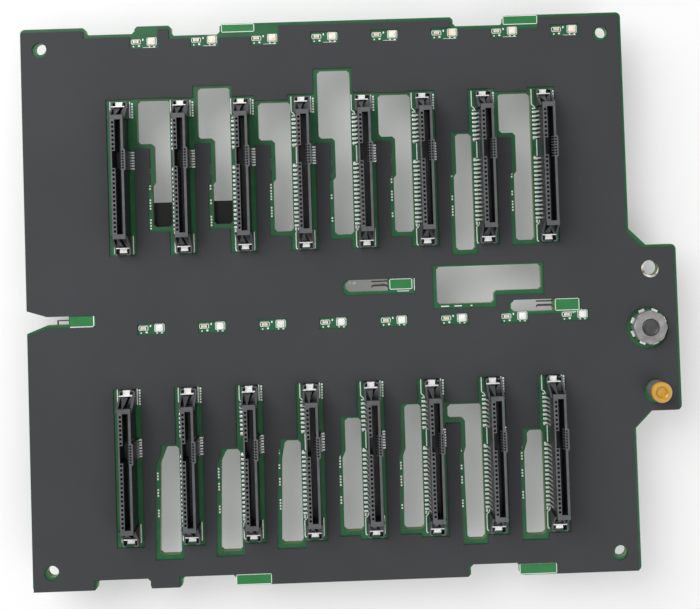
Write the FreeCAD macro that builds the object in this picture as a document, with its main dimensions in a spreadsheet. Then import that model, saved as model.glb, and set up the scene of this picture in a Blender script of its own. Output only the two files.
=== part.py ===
import FreeCAD, Part
import math
import os
import Sketcher

# Drive backplane board: a bare circuit board with two rows of drive sockets on the front face,
# connectors on the rear face, and a spring plunger on the side ear.
# Frame: origin at the centre of the four corner holes on the front face, +X along the rows of
# sockets, +Y up the board, +Z out of the front face. All sizes are in millimetres.

# Board blank, ear and corner holes
BOARD = {
    "board_width": 180.4,
    "board_height": 167.0,
    "board_thick": 2.4,
    "board_corner": 1.5,
    "corner_hole_inset": 6.0,
    "corner_hole_dia": 3.4,
    "ear_right": 104.2,
    "ear_top": 13.2,
    "ear_bottom": -36.3,
    "ear_slope": 5.0,
    "ear_hole_x": 96.4,
    "ear_hole_y": 6.3,
    "ear_hole_dia": 4.3,
    "opening_corner": 0.8,
    "sheet_thick": 0.4,
    "sheet_margin": 0.55,
    "opening_margin": 1.0,
    "sheet_shift_x": -0.3,
    "sheet_shift_y": -0.4,
}

# Sockets: two rows of eight, measured from the contact centre of each
SOCKETS = {
    "first_socket_x": -60.1,
    "socket_pitch": 18.05,
    "upper_row_y": 38.25,
    "lower_row_y": -47.1,
    "housing_left": 2.18,
    "housing_right": 1.57,
    "housing_top": 8.6,
    "housing_lift": 0.4,
    "bulge_right": 2.07,
    "bulge_low": 2.0,
    "bulge_high": 8.0,
    "overlap": 1.0,
    "slot_half_width": 0.875,
    "slot_half_length": 16.75,
    "slot_floor": 2.0,
    "gap_left": 1.76,
    "gap_low": 2.58,
    "gap_high": 7.58,
    "tower_start": 17.0,
    "tower_end": 20.65,
    "tower_left": 2.85,
    "tower_middle": -0.6,
    "ledge_end": 22.5,
    "ledge_top": 2.3,
    "ramp_start": 18.4,
    "ramp_depth": 3.3,
    "ramp_half_width": 0.95,
    "window_left": 4.7,
    "window_right": 3.5,
    "window_half_length": 23.4,
    "window_row_shift": 0.4,
}

# Contact tails on the board and board locks on the socket ledges
CONTACTS = {
    "contact_pitch": 1.27,
    "first_signal_y": 15.875,
    "first_power_y": 1.905,
    "tail_width": 0.75,
    "tail_thick": 0.35,
    "tail_outer": 3.7,
    "tail_inner": 1.43,
    "fine_pitch": 0.8,
    "fine_middle_y": 5.0,
    "fine_width": 0.36,
    "fine_outer": 2.9,
    "fine_inner": 1.2,
    "lock_half_width": 1.9,
    "lock_thick": 0.45,
    "lock_start": 20.85,
    "lock_end": 21.9,
    "lock_block_half_width": 0.95,
    "lock_block_end": 22.4,
}

# Chips of light beside each socket
LEDS = {
    "small_led_x": 4.45,
    "large_led_x": 9.2,
    "upper_leds_drop": 4.65,
    "middle_leds_y": -6.75,
    "small_led_length": 1.6,
    "small_led_width": 0.8,
    "small_led_thick": 0.45,
    "large_led_side": 2.0,
    "large_led_thick": 0.7,
    "led_window_left": 1.5,
    "led_window_right": 2.2,
    "led_window_low": 1.6,
    "led_window_high": 1.9,
    "edge_pad_depth": 3.2,
}

# Slots that take the hooks of the chassis, and the wire springs in them
HOOKS = {
    "slot_a_right": -77.7,
    "slot_a_top": -2.5,
    "slot_b_right": 17.5,
    "slot_b_top": 5.5,
    "slot_c_right": 66.8,
    "slot_c_top": -2.0,
    "hook_slot_length": 12.7,
    "hook_slot_height": 3.6,
    "hook_slot_corner": 1.1,
    "mouth_inner": 6.0,
    "mouth_flare_top": 1.9,
    "mouth_flare_bottom": 2.3,
    "slot_a_height": 2.5,
    "hook_pad_length": 7.9,
    "wire_thick": 0.5,
    "wire_loop_length": 4.3,
    "wire_loop_height": 1.8,
    "wire_drop": 1.3,
}

# Plunger and guide post on the ear
EAR_PARTS = {
    "plunger_x": 94.95,
    "plunger_y": -11.2,
    "collar_corner_dia": 10.2,
    "collar_thick": 3.1,
    "foot_width": 1.8,
    "foot_reach": 5.6,
    "foot_thick": 0.8,
    "collar_window_dia": 12.6,
    "barrel_dia": 7.6,
    "barrel_clearance": 0.3,
    "barrel_length": 7.5,
    "barrel_wall": 0.7,
    "barrel_end_wall": 0.6,
    "pin_dia": 4.9,
    "pin_clearance": 0.08,
    "pin_tip": 3.6,
    "pin_step": -1.5,
    "pin_flange_dia": 5.5,
    "pin_flange_thick": 0.8,
    "stem_dia": 2.4,
    "knob_dia": 9.0,
    "knob_top": -8.0,
    "knob_thick": 3.2,
    "spring_wire": 0.36,
    "spring_mean_dia": 4.3,
    "post_x": 96.8,
    "post_y": -30.1,
    "post_dia": 6.1,
    "post_height": 4.3,
    "post_window_gap": 0.7,
    "post_shank_dia": 3.2,
    "post_shank_clearance": 0.3,
    "post_foot_dia": 6.4,
    "post_foot_thick": 0.8,
    "cap_thick": 1.2,
    "cap_recess_dia": 3.3,
    "cap_recess_depth": 0.7,
}

# Parts on the rear face
REAR = {
    "rear_part_height": 12.0,
    "header_left": -55.0,
    "header_bottom": 19.0,
    "header_length": 31.0,
    "header_width": 11.5,
    "header_wall": 1.4,
    "header_floor": 2.0,
    "header_pin": 1.0,
    "header_pin_length": 9.0,
    "header_pin_pitch_x": 5.2,
    "header_pin_pitch_y": 5.6,
    "cable_socket_length": 20.0,
    "cable_socket_width": 10.0,
    "cable_socket_wall": 1.2,
    "cable_socket_floor": 2.2,
    "cable_tongue_thick": 1.4,
    "cable_tongue_length": 14.0,
    "cable_tongue_height": 7.0,
    "chip_side": 17.0,
    "chip_thick": 1.6,
    "chip_x": -24.0,
    "chip_y": -10.0,
}

# Edges of the air openings from the slot centres either side, and the L-shaped opening
OPENINGS = {
    "opening_left": 4.2,
    "opening_low_left": 9.0,
    "opening_foot_left": 8.2,
    "opening_right": 4.1,
    "opening_foot": 35.5,
    "knee_left": 8.3,
    "knee_height": -47.1,
    "lower_opening_right": 4.0,
    "wide_opening_left": 3.9,
    "wide_opening_floor": -36.6,
    "middle_left": 32.1,
    "middle_notch": 49.2,
    "middle_right": 63.5,
    "middle_top": 8.6,
    "middle_step": 0.95,
    "middle_bottom": -2.6,
}

# The sixth opening of each row has its own form
ODD_OPENING = 5

# Whole numbers of things
SOCKETS_IN_ROW = 8
SIGNALS = 7
POWERS = 15
FINES = 7
COLLAR_SIDES = 8
HALF_SIDE = 180 / COLLAR_SIDES
OPEN_LED_WINDOWS = 3
HEADER_PINS = 5

# Two sides meet nearly square where the cosine between them is less than this
NEARLY_SQUARE = 0.2

# Air openings beside the upper sockets: top, step and bottom of each
UPPER_OPENINGS = (
    (61.2, 48.1, 23.2),
    (64.5, 49.2, 23.5),
    (59.5, 48.1, 20.7),
    (68.6, 48.1, 19.2),
    (60.8, 48.1, 19.4),
    (48.3, 42.0, 13.4),
    (60.0, 48.1, 15.8),
)

# Air openings beside the lower sockets: top, shoulder and bottom, then the left edge at top and bottom
LOWER_OPENINGS = (
    (-41.9, -42.9, -73.8, 10.0, 7.6),
    (-43.4, -44.4, -73.4, 9.6, 7.6),
    (-41.4, -42.4, -71.8, 9.2, 7.6),
    (-35.4, -44.9, -68.8, 9.3, 8.2),
    (-32.0, -44.9, -68.9, 9.1, 8.0),
    (-32.4, -44.9, -72.5, 9.0, 8.6),
    (-40.8, -44.0, -71.8, 9.3, 8.2),
)

# Left and right edge and depth of each notch in the long edges
TOP_NOTCHES = ((-70.6, -56.0, 2.2), (-45.0, -30.5, 3.1), (39.6, 54.6, 2.8))
BOTTOM_NOTCHES = ((-71.2, -55.5, 2.9), (-46.1, -30.2, 3.1), (39.4, 53.9, 3.6))

# Round windows of the film have this many straight sides
WINDOW_SIDES = 24

# Left and right edge of the bare pads along the long edges
TOP_PADS = ((-30.0, -20.1), (54.7, 65.1))
BOTTOM_PADS = ((-30.2, -19.7), (53.9, 65.0))

# Corner of each cable socket on the rear face, and whether it stands along Y
CABLE_SOCKETS = ((-74.0, -27.5, 0), (-2.0, -27.5, 0), (62.0, -27.5, 0), (74.5, 36.0, 1))

doc = FreeCAD.newDocument("DriveBackplane")
sheet = doc.addObject("Spreadsheet::Sheet", "Sizes")


class Length:
    """A size: its value in millimetres and the spreadsheet expression that gives it."""

    def __init__(self, value, text):
        self.value = value
        self.text = text

    def __add__(self, other):
        other = length(other)
        return Length(self.value + other.value, f"({self.text} + {other.text})")

    def __sub__(self, other):
        other = length(other)
        return Length(self.value - other.value, f"({self.text} - {other.text})")

    def __mul__(self, other):
        other = length(other)
        return Length(self.value * other.value, f"({self.text} * {other.text})")

    def __truediv__(self, other):
        other = length(other)
        return Length(self.value / other.value, f"({self.text} / {other.text})")

    def __neg__(self):
        return Length(-self.value, f"(0 - {self.text})")


def length(value):
    """The value as a Length; plain numbers stand for themselves."""
    if isinstance(value, Length):
        return value
    return Length(value, f"({value})")


def add_size(name, value):
    """Write one size into the next row of the sheet under its own name."""
    row = len(sizes) + 1
    sheet.set(f"A{row}", name)
    sheet.set(f"B{row}", str(value))
    sheet.setAlias(f"B{row}", name)
    sizes[name] = Length(value, f"Sizes.{name}")


def fill_sheet():
    """Write every size of the part into the spreadsheet."""
    for group in (BOARD, OPENINGS, SOCKETS, CONTACTS, LEDS, HOOKS, EAR_PARTS, REAR):
        for name, value in group.items():
            add_size(name, value)
    tables = (
        ("upper_opening", ("top", "step", "bottom"), UPPER_OPENINGS),
        ("lower_opening", ("top", "shoulder", "bottom", "left_top", "left_bottom"), LOWER_OPENINGS),
        ("top_notch", ("left", "right", "depth"), TOP_NOTCHES),
        ("bottom_notch", ("left", "right", "depth"), BOTTOM_NOTCHES),
        ("top_pad", ("left", "right"), TOP_PADS),
        ("bottom_pad", ("left", "right"), BOTTOM_PADS),
        ("cable_socket", ("left", "bottom"), [row[:2] for row in CABLE_SOCKETS]),
    )
    for name, columns, rows in tables:
        for number, row in enumerate(rows, 1):
            for column, value in zip(columns, row):
                add_size(f"{name}_{number}_{column}", value)
    doc.recompute()


sizes = {}
fill_sheet()


def size(name):
    """The named size from the spreadsheet."""
    return sizes[name]


# Openings run this far past the edge of the board, so that they cut it cleanly
EDGE_RUN = 2.0

# The flared mouth is drawn this many times its own length, for the same reason
FLARE_RUN = 1.5


def new_body(name):
    """A sub-part: a body with its own label."""
    body = doc.addObject("PartDesign::Body", name)
    body.Label = name
    body.AllowCompound = True
    return body


def new_sketch(body, height, plane="XY_Plane"):
    """A sketch on a plane of the body, moved along the plane's normal by the height."""
    sketch = body.newObject("Sketcher::SketchObject", f"{body.Name}_sketch")
    base = [feature for feature in body.Origin.OriginFeatures if feature.Role == plane][0]
    sketch.AttachmentSupport = [(base, "")]
    sketch.MapMode = "FlatFace"
    sketch.setExpression("AttachmentOffset.Base.z", length(height).text)
    return sketch


def polygon(sketch, corners):
    """A closed outline of straight lines; each corner is held by two dimensions."""
    first = sketch.GeometryCount
    count = len(corners)
    corners = [(length(x), length(y)) for x, y in corners]
    points = [FreeCAD.Vector(x.value, y.value, 0) for x, y in corners]
    lines = [Part.LineSegment(points[i], points[(i + 1) % count]) for i in range(count)]
    sketch.addGeometry(lines, False)
    ends = [(first + i, 2, first + (i + 1) % count, 1) for i in range(count)]
    rules = [Sketcher.Constraint("Coincident", *pair) for pair in ends]
    for i, (x, y) in enumerate(corners):
        rules.append(Sketcher.Constraint("DistanceX", -1, 1, first + i, 1, x.value))
        rules.append(Sketcher.Constraint("DistanceY", -1, 1, first + i, 1, y.value))
    numbers = sketch.addConstraint(rules)
    for i, (x, y) in enumerate(corners):
        sketch.setExpression(f"Constraints[{numbers[count + 2 * i]}]", x.text)
        sketch.setExpression(f"Constraints[{numbers[count + 2 * i + 1]}]", y.text)


def rectangle(sketch, left, right, bottom, top):
    """A rectangle between four edges."""
    polygon(sketch, ((left, bottom), (right, bottom), (right, top), (left, top)))


def circle(sketch, x, y, diameter):
    """A circle held by its centre and diameter."""
    x, y, diameter = length(x), length(y), length(diameter)
    centre = FreeCAD.Vector(x.value, y.value, 0)
    number = sketch.addGeometry(Part.Circle(centre, FreeCAD.Vector(0, 0, 1), diameter.value / 2), False)
    rules = [
        Sketcher.Constraint("DistanceX", -1, 1, number, 3, x.value),
        Sketcher.Constraint("DistanceY", -1, 1, number, 3, y.value),
        Sketcher.Constraint("Diameter", number, diameter.value),
    ]
    for rule, value in zip(sketch.addConstraint(rules), (x, y, diameter)):
        sketch.setExpression(f"Constraints[{rule}]", value.text)


def pad(body, sketch, height):
    """Add material above the sketch."""
    feature = body.newObject("PartDesign::Pad", f"{body.Name}_pad")
    feature.Profile = sketch
    feature.setExpression("Length", length(height).text)
    return feature


def pocket(body, sketch, depth):
    """Take material away below the sketch."""
    feature = body.newObject("PartDesign::Pocket", f"{body.Name}_pocket")
    feature.Profile = sketch
    feature.setExpression("Length", length(depth).text)
    return feature


def repeat(body, features, axis, pitch, count):
    """Repeat features along an axis of the body, the pitch apart."""
    pattern = body.newObject("PartDesign::LinearPattern", f"{body.Name}_pattern")
    pattern.Originals = features
    line = [feature for feature in body.Origin.OriginFeatures if feature.Role == axis][0]
    pattern.Direction = (line, [""])
    pattern.Mode = "Spacing"
    pattern.setExpression("Offset", length(pitch).text)
    pattern.Occurrences = count
    body.Tip = pattern
    return pattern


def place(body, x=0, y=0, z=0):
    """Tie the place of a body to the sheet."""
    for axis, value in zip("xyz", (x, y, z)):
        body.setExpression(f"Placement.Base.{axis}", length(value).text)


def dress_upright_edges(body, corners, kind, field, value):
    """Round or chamfer the upright edges that stand at the given corners."""
    doc.recompute()
    base = body.Tip or body.Group[-1]
    names = []
    for number, edge in enumerate(base.Shape.Edges, 1):
        start, end = edge.Vertexes[0].Point, edge.Vertexes[-1].Point
        upright = abs(start.x - end.x) + abs(start.y - end.y) < 1e-6
        near = any(abs(start.x - x.value) + abs(start.y - y.value) < 1e-4 for x, y in corners)
        if upright and near:
            names.append(f"Edge{number}")
    feature = body.newObject(kind, f"{body.Name}_corners")
    feature.Base = (base, names)
    feature.setExpression(field, length(value).text)
    body.Tip = feature


def cut_corners(outline, cut):
    """The outline with each nearly square corner cut off, the cut's length along both sides."""
    points = [FreeCAD.Vector(length(x).value, length(y).value, 0) for x, y in outline]
    corners = []
    for i, (x, y) in enumerate(outline):
        before = (points[i - 1] - points[i]).normalize()
        after = (points[(i + 1) % len(points)] - points[i]).normalize()
        if abs(before.dot(after)) > NEARLY_SQUARE:
            corners.append((x, y))
            continue
        for way in (before, after):
            corners.append((length(x) + cut * way.x, length(y) + cut * way.y))
    return corners


def socket_x(number):
    """Slot centre of the socket with this number in its row, from 0."""
    return size("first_socket_x") + size("socket_pitch") * number


def ear_outline(margin):
    """Outline of the side ear, drawn in by the margin."""
    edge = size("board_width") / 2 - margin
    right = size("ear_right") - margin
    top = size("ear_top") - margin
    bottom = size("ear_bottom") + margin
    slope = size("ear_slope")
    inside = edge - slope
    return (
        (inside, bottom - slope), (edge, bottom - slope), (edge + slope, bottom), (right, bottom),
        (right, top), (edge + slope, top), (edge, top + slope), (inside, top + slope),
    )


def upper_opening(number, margin):
    """Air opening to the right of an upper socket, widened by the margin."""
    name = f"upper_opening_{number + 1}_"
    top = size(name + "top") + margin
    step = size(name + "step") - margin
    bottom = size(name + "bottom") - margin
    left = socket_x(number) + size("opening_left") - margin
    right = socket_x(number + 1) - size("opening_right") + margin
    low_left = socket_x(number) + size("opening_low_left") - margin
    foot_left = socket_x(number) + size("opening_foot_left") - margin
    foot = [(foot_left, size("opening_foot")), (foot_left, bottom), (right, bottom), (right, top)]
    if number == ODD_OPENING:
        return [(low_left, top), (low_left, size("opening_foot") + 1)] + foot
    return [(left, top), (left, step), (low_left, step), (low_left, size("opening_foot") + 1)] + foot


def lower_opening(number, margin):
    """Air opening to the right of a lower socket, widened by the margin."""
    name = f"lower_opening_{number + 1}_"
    top = size(name + "top") + margin
    bottom = size(name + "bottom") - margin
    left = socket_x(number) + size(name + "left_top") - margin
    foot_left = socket_x(number) + size(name + "left_bottom") - margin
    knee_left = socket_x(number) + size("knee_left") - margin
    right = socket_x(number + 1) - size("lower_opening_right") + margin
    corners = [(left, size(name + "shoulder")), (knee_left, size("knee_height")), (foot_left, bottom)]
    corners += [(right, bottom), (right, top)]
    if number != ODD_OPENING:
        return [(left, top)] + corners
    wide_left = socket_x(number) + size("wide_opening_left") - margin
    floor = size("wide_opening_floor") - margin
    return [(wide_left, top), (wide_left, floor), (left, floor)] + corners


def middle_opening(margin):
    """The L-shaped opening between the rows, widened by the margin."""
    left = size("middle_left") - margin
    notch = size("middle_notch") + margin
    right = size("middle_right") + margin
    top = size("middle_top") + margin
    step = size("middle_step") - margin
    bottom = size("middle_bottom") - margin
    return [(left, top), (left, bottom), (notch, bottom), (notch, step), (right, step), (right, top)]


def notches(margin):
    """The notches in the long edges, each widened by the margin and flared where it meets the edge."""
    edge = size("board_height") / 2
    flare = size("opening_corner")
    outlines = []
    for name, count, side in (("top_notch", len(TOP_NOTCHES), 1), ("bottom_notch", len(BOTTOM_NOTCHES), -1)):
        for number in range(1, count + 1):
            left = size(f"{name}_{number}_left") - margin
            right = size(f"{name}_{number}_right") + margin
            floor = (edge - size(f"{name}_{number}_depth") - margin) * side
            shoulder, lip, end = (edge - flare) * side, edge * side, (edge + EDGE_RUN) * side
            outlines.append((
                (left, floor), (right, floor), (right, shoulder), (right + flare, lip), (right + flare, end),
                (left - flare, end), (left - flare, lip), (left, shoulder),
            ))
    return outlines


def hook_slots(margin):
    """The three hook slots, widened by the margin; the first opens to the edge through a flared mouth."""
    edge = -size("board_width") / 2
    inner = edge + size("mouth_inner")
    outer = inner - size("mouth_inner") * FLARE_RUN
    top = size("slot_a_top") + margin
    bottom = size("slot_a_top") - size("slot_a_height") - margin
    right = size("slot_a_right") + margin
    flare_top = top + size("mouth_flare_top") * FLARE_RUN
    flare_bottom = bottom - size("mouth_flare_bottom") * FLARE_RUN
    outlines = [[
        (outer, flare_top), (inner, top), (right, top),
        (right, bottom), (inner, bottom), (outer, flare_bottom),
    ]]
    for name in ("slot_b", "slot_c"):
        right = size(name + "_right") + margin
        top = size(name + "_top") + margin
        left = right - size("hook_slot_length") - length(margin) * 2
        bottom = top - size("hook_slot_height") - length(margin) * 2
        corner = size("hook_slot_corner")
        outlines.append([
            (left + corner, bottom), (right, bottom), (right, top),
            (left + corner, top), (left, top - corner), (left, bottom + corner),
        ])
    return outlines


def board_openings(margin):
    """Every opening of the board, widened by the margin."""
    outlines = [upper_opening(number, margin) for number in range(len(UPPER_OPENINGS))]
    outlines += [lower_opening(number, margin) for number in range(len(LOWER_OPENINGS))]
    outlines.append(middle_opening(margin))
    return outlines


def prism(name, bottom, thick, draw, *outline):
    """A flat prism standing on the bottom height; draw lays its outline on the sketch."""
    sketch = doc.addObject("Sketcher::SketchObject", f"{name}_outline")
    sketch.setExpression("Placement.Base.z", length(bottom).text)
    draw(sketch, *outline)
    solid = doc.addObject("Part::Extrusion", f"{name}_prism")
    solid.Base = sketch
    solid.DirMode = "Normal"
    solid.Solid = True
    solid.setExpression("LengthFwd", length(thick).text)
    return solid


def round_prism(name, bottom, thick, x, y, diameter):
    """A round prism standing on the bottom height."""
    return prism(name, bottom, thick, circle, x, y, diameter)


def many_sided_prism(name, bottom, thick, x, y, diameter):
    """A regular prism that stands in for a round one."""
    base = doc.addObject("Part::RegularPolygon", f"{name}_round")
    base.Polygon = WINDOW_SIDES
    base.setExpression("Circumradius", (length(diameter) / 2).text)
    for axis, value in zip("xyz", (x, y, bottom)):
        base.setExpression(f"Placement.Base.{axis}", length(value).text)
    solid = doc.addObject("Part::Extrusion", f"{name}_prism")
    solid.Base = base
    solid.DirMode = "Normal"
    solid.Solid = True
    solid.setExpression("LengthFwd", length(thick).text)
    return solid


def pierced_plate(name, bottom, thick, margin, outlines, rounds, make_round):
    """The board's plate with its ear, drawn in by the margin and pierced by outlines and round holes."""
    half_x = size("board_width") / 2 - margin
    half_y = size("board_height") / 2 - margin
    plate = prism(name, bottom, thick, rectangle, -half_x, half_x, -half_y, half_y)
    ear = prism(name, bottom, thick, polygon, ear_outline(margin))
    blank = doc.addObject("Part::Fuse", f"{name}_blank")
    blank.Base = plate
    blank.Tool = ear
    low, high = length(bottom) - EDGE_RUN, length(thick) + EDGE_RUN * 2
    tools = [prism(name, low, high, polygon, outline) for outline in outlines]
    tools += [make_round(name, low, high, *spot) for spot in rounds]
    openings = doc.addObject("Part::Compound", f"{name}_openings")
    openings.Links = tools
    pierced = doc.addObject("Part::Cut", f"{name}_pierced")
    pierced.Base = blank
    pierced.Tool = openings
    pierced.Refine = True
    body = new_body(name)
    body.BaseFeature = pierced
    return body


def board_holes(margin):
    """Centre and diameter of the round holes of the board, widened by the margin."""
    wider = length(margin) * 2
    inset = size("corner_hole_inset")
    x, y = size("board_width") / 2 - inset, size("board_height") / 2 - inset
    holes = [(size("ear_hole_x"), size("ear_hole_y"), size("ear_hole_dia") + wider)]
    for side_x in (-1, 1):
        for side_y in (-1, 1):
            holes.append((x * side_x, y * side_y, size("corner_hole_dia") + wider))
    return holes


def circuit_board():
    """The bare board: plate, ear, notches, air openings, hook slots and round holes."""
    thick = size("board_thick")
    barrel_hole = size("barrel_dia") + size("barrel_clearance") * 2
    shank_hole = size("post_shank_dia") + size("post_shank_clearance") * 2
    rounds = board_holes(0) + [
        (size("plunger_x"), size("plunger_y"), barrel_hole),
        (size("post_x"), size("post_y"), shank_hole),
    ]
    outlines = [cut_corners(outline, size("opening_corner")) for outline in notches(0) + board_openings(0)]
    outlines += hook_slots(0)
    body = pierced_plate("circuit_board", -thick, thick, 0, outlines, rounds, round_prism)
    half_x, half_y = size("board_width") / 2, size("board_height") / 2
    corners = [(half_x * side_x, half_y * side_y) for side_x in (-1, 1) for side_y in (-1, 1)]
    corners += [(size("ear_right"), size("ear_top")), (size("ear_right"), size("ear_bottom"))]
    dress_upright_edges(body, corners, "PartDesign::Fillet", "Radius", size("board_corner"))


def insulator_sheet():
    """The dark film on the front face, cut clear of everything that stands on the board."""
    margin = size("sheet_margin")
    outlines = notches(margin) + hook_windows() + board_openings(size("opening_margin"))
    outlines += socket_windows() + led_windows() + pad_windows()
    rounds = board_holes(margin) + [
        (size("plunger_x"), size("plunger_y"), size("collar_window_dia")),
        (size("post_x"), size("post_y"), size("post_dia") + size("post_window_gap") * 2),
    ]
    body = pierced_plate(
        "insulator_sheet", 0, size("sheet_thick"), margin, outlines, rounds, many_sided_prism)
    place(body, size("sheet_shift_x"), size("sheet_shift_y"))


def hook_windows():
    """Windows of the film round the hook slots and the bare pads beside them."""
    margin = size("sheet_margin")
    outlines = hook_slots(margin)
    for outline in outlines:
        right = max((x for x, y in outline), key=lambda x: x.value)
        for i, (x, y) in enumerate(outline):
            if x is right:
                outline[i] = (x + size("hook_pad_length"), y)
    return outlines


def socket_windows():
    """One window of the film round each socket."""
    outlines = []
    half = size("window_half_length")
    for row, side in (("upper_row_y", 1), ("lower_row_y", -1)):
        y = size(row) + size("window_row_shift") * side
        for number in range(SOCKETS_IN_ROW):
            left = socket_x(number) - size("window_left")
            right = socket_x(number) + size("window_right")
            outlines.append(((left, y - half), (right, y - half), (right, y + half), (left, y + half)))
    return outlines


def led_windows():
    """One window of the film round each pair of status lights; the first ones run out over the edge."""
    outlines = []
    edge = size("board_height") / 2
    for y in led_heights():
        for number in range(SOCKETS_IN_ROW):
            left = socket_x(number) + size("small_led_x") - size("led_window_left")
            right = socket_x(number) + size("large_led_x") + size("led_window_right")
            low, high = y - size("led_window_low"), y + size("led_window_high")
            if not outlines[OPEN_LED_WINDOWS - 1:]:
                high = edge + EDGE_RUN
            outlines.append(((left, low), (right, low), (right, high), (left, high)))
    return outlines


def led_heights():
    """Heights of the upper and the middle row of status lights."""
    return size("board_height") / 2 - size("upper_leds_drop"), size("middle_leds_y")


def pad_windows():
    """Windows of the film over the bare pads at the long edges."""
    half = size("board_height") / 2 + EDGE_RUN
    margin = size("sheet_margin")
    outlines = []
    for name, count, side in (("top_pad", len(TOP_PADS), 1), ("bottom_pad", len(BOTTOM_PADS), -1)):
        for number in range(1, count + 1):
            left, right = size(f"{name}_{number}_left") - margin, size(f"{name}_{number}_right") + margin
            floor = (size("board_height") / 2 - size("edge_pad_depth") - margin) * side
            outlines.append(((left, floor), (right, floor), (right, half * side), (left, half * side)))
    return outlines


def drive_socket(name, x, y):
    """Housing of a drive socket: walls round the card slot, a tower and a ledge at each end."""
    body = new_body(name)
    lift, top = size("housing_lift"), size("housing_top")
    start, end = size("tower_start"), size("tower_end")
    sketch = new_sketch(body, lift)
    overlap = size("overlap")
    rectangle(sketch, -size("housing_left"), size("housing_right"), -start - overlap, start + overlap)
    pad(body, sketch, top - lift)
    sketch = new_sketch(body, lift)
    rectangle(sketch, 0, size("bulge_right"), size("bulge_low"), size("bulge_high"))
    pad(body, sketch, top - lift)
    sketch = new_sketch(body, 0)
    left, right = -size("tower_left"), size("housing_right")
    shoulder = start + size("tower_left") - size("housing_left")
    for side in (-1, 1):
        polygon(sketch, (
            (-size("housing_left"), start * side), (right, start * side),
            (right, end * side), (left, end * side), (left, shoulder * side),
        ))
    pad(body, sketch, top)
    sketch = new_sketch(body, 0)
    for side in (-1, 1):
        rectangle(sketch, left, right, (end - overlap) * side, size("ledge_end") * side)
    pad(body, sketch, size("ledge_top"))
    sketch = new_sketch(body, top)
    slot, slot_end = size("slot_half_width"), size("slot_half_length")
    gap, low, high = size("gap_left"), size("gap_low"), size("gap_high")
    polygon(sketch, (
        (slot, -slot_end), (slot, slot_end), (-slot, slot_end), (-slot, high),
        (-gap, high), (-gap, low), (-slot, low), (-slot, -slot_end),
    ))
    pocket(body, sketch, top - size("slot_floor"))
    sketch = new_sketch(body, size("tower_middle") + size("ramp_half_width"), "YZ_Plane")
    for side in (-1, 1):
        outer = (end + overlap) * side
        depth = top - size("ramp_depth")
        polygon(sketch, ((size("ramp_start") * side, top), (outer, top), (outer, depth)))
    pocket(body, sketch, size("ramp_half_width") * 2)
    place(body, x, y)


def socket_contacts(name, x, y):
    """The soldered tails of one socket: ramps on the board that run up under the housing."""
    body = new_body(name)
    coarse = (-size("tail_outer"), -size("tail_inner"), size("tail_width"), "contact_pitch")
    fine = (size("fine_outer"), size("fine_inner"), size("fine_width"), "fine_pitch")
    rows = (
        (size("first_signal_y") - size("contact_pitch") * (SIGNALS - 1), SIGNALS, coarse),
        (size("first_power_y") - size("contact_pitch") * (POWERS - 1), POWERS, coarse),
        (size("fine_middle_y") - size("fine_pitch") * ((FINES - 1) / 2), FINES, fine),
    )
    for low, count, (outer, inner, width, pitch) in rows:
        sketch = new_sketch(body, -low, "XZ_Plane")
        polygon(sketch, ((outer, 0), (inner, 0), (inner, size("tail_thick"))))
        tail = pad(body, sketch, width)
        tail.SideType = "Symmetric"
        repeat(body, [tail], "Y_Axis", size(pitch), count)
    place(body, x, y)


def board_locks(name, y):
    """Bright metal locks on the ledges of one row of sockets."""
    body = new_body(name)
    features = []
    for side in (-1, 1):
        for half, end in (("lock_half_width", "lock_end"), ("lock_block_half_width", "lock_block_end")):
            sketch = new_sketch(body, size("ledge_top"))
            rectangle(sketch, -size(half), size(half), size("lock_start") * side, size(end) * side)
            features.append(pad(body, sketch, size("lock_thick")))
    repeat(body, features, "X_Axis", size("socket_pitch"), SOCKETS_IN_ROW)
    place(body, size("first_socket_x") + size("tower_middle"), y)


def led_row(name, x, y, length_x, length_y, thick):
    """One row of status lights, one beside each socket."""
    body = new_body(name)
    sketch = new_sketch(body, 0)
    rectangle(sketch, -length_x / 2, length_x / 2, -length_y / 2, length_y / 2)
    repeat(body, [pad(body, sketch, thick)], "X_Axis", size("socket_pitch"), SOCKETS_IN_ROW)
    place(body, size("first_socket_x") + x, y)


def hook_slot_springs():
    """A bent wire spring at the right end of each hook slot."""
    body = new_body("hook_slot_springs")
    wire = size("wire_thick")
    heights = {"slot_a": "slot_a_height", "slot_b": "hook_slot_height", "slot_c": "hook_slot_height"}
    for name, height in heights.items():
        right = size(name + "_right")
        middle = size(name + "_top") - size(height) / 2
        left = right - size("wire_loop_length")
        top, bottom = middle + size("wire_loop_height") / 2, middle - size("wire_loop_height") / 2
        sketch = new_sketch(body, -size("wire_drop"))
        polygon(sketch, (
            (right, top), (left, top), (left, bottom), (right, bottom), (right, bottom + wire),
            (left + wire, bottom + wire), (left + wire, top - wire), (right, top - wire),
        ))
        pad(body, sketch, wire)


def revolved(name, x, y, profile):
    """A turned part: the profile of radius and height turned about the upright axis."""
    body = new_body(name)
    sketch = new_sketch(body, 0, "XZ_Plane")
    polygon(sketch, profile)
    feature = body.newObject("PartDesign::Revolution", f"{name}_turned")
    feature.Profile = sketch
    feature.ReferenceAxis = (sketch, ["V_Axis"])
    feature.Angle = 360
    place(body, x, y)
    return body


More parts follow.
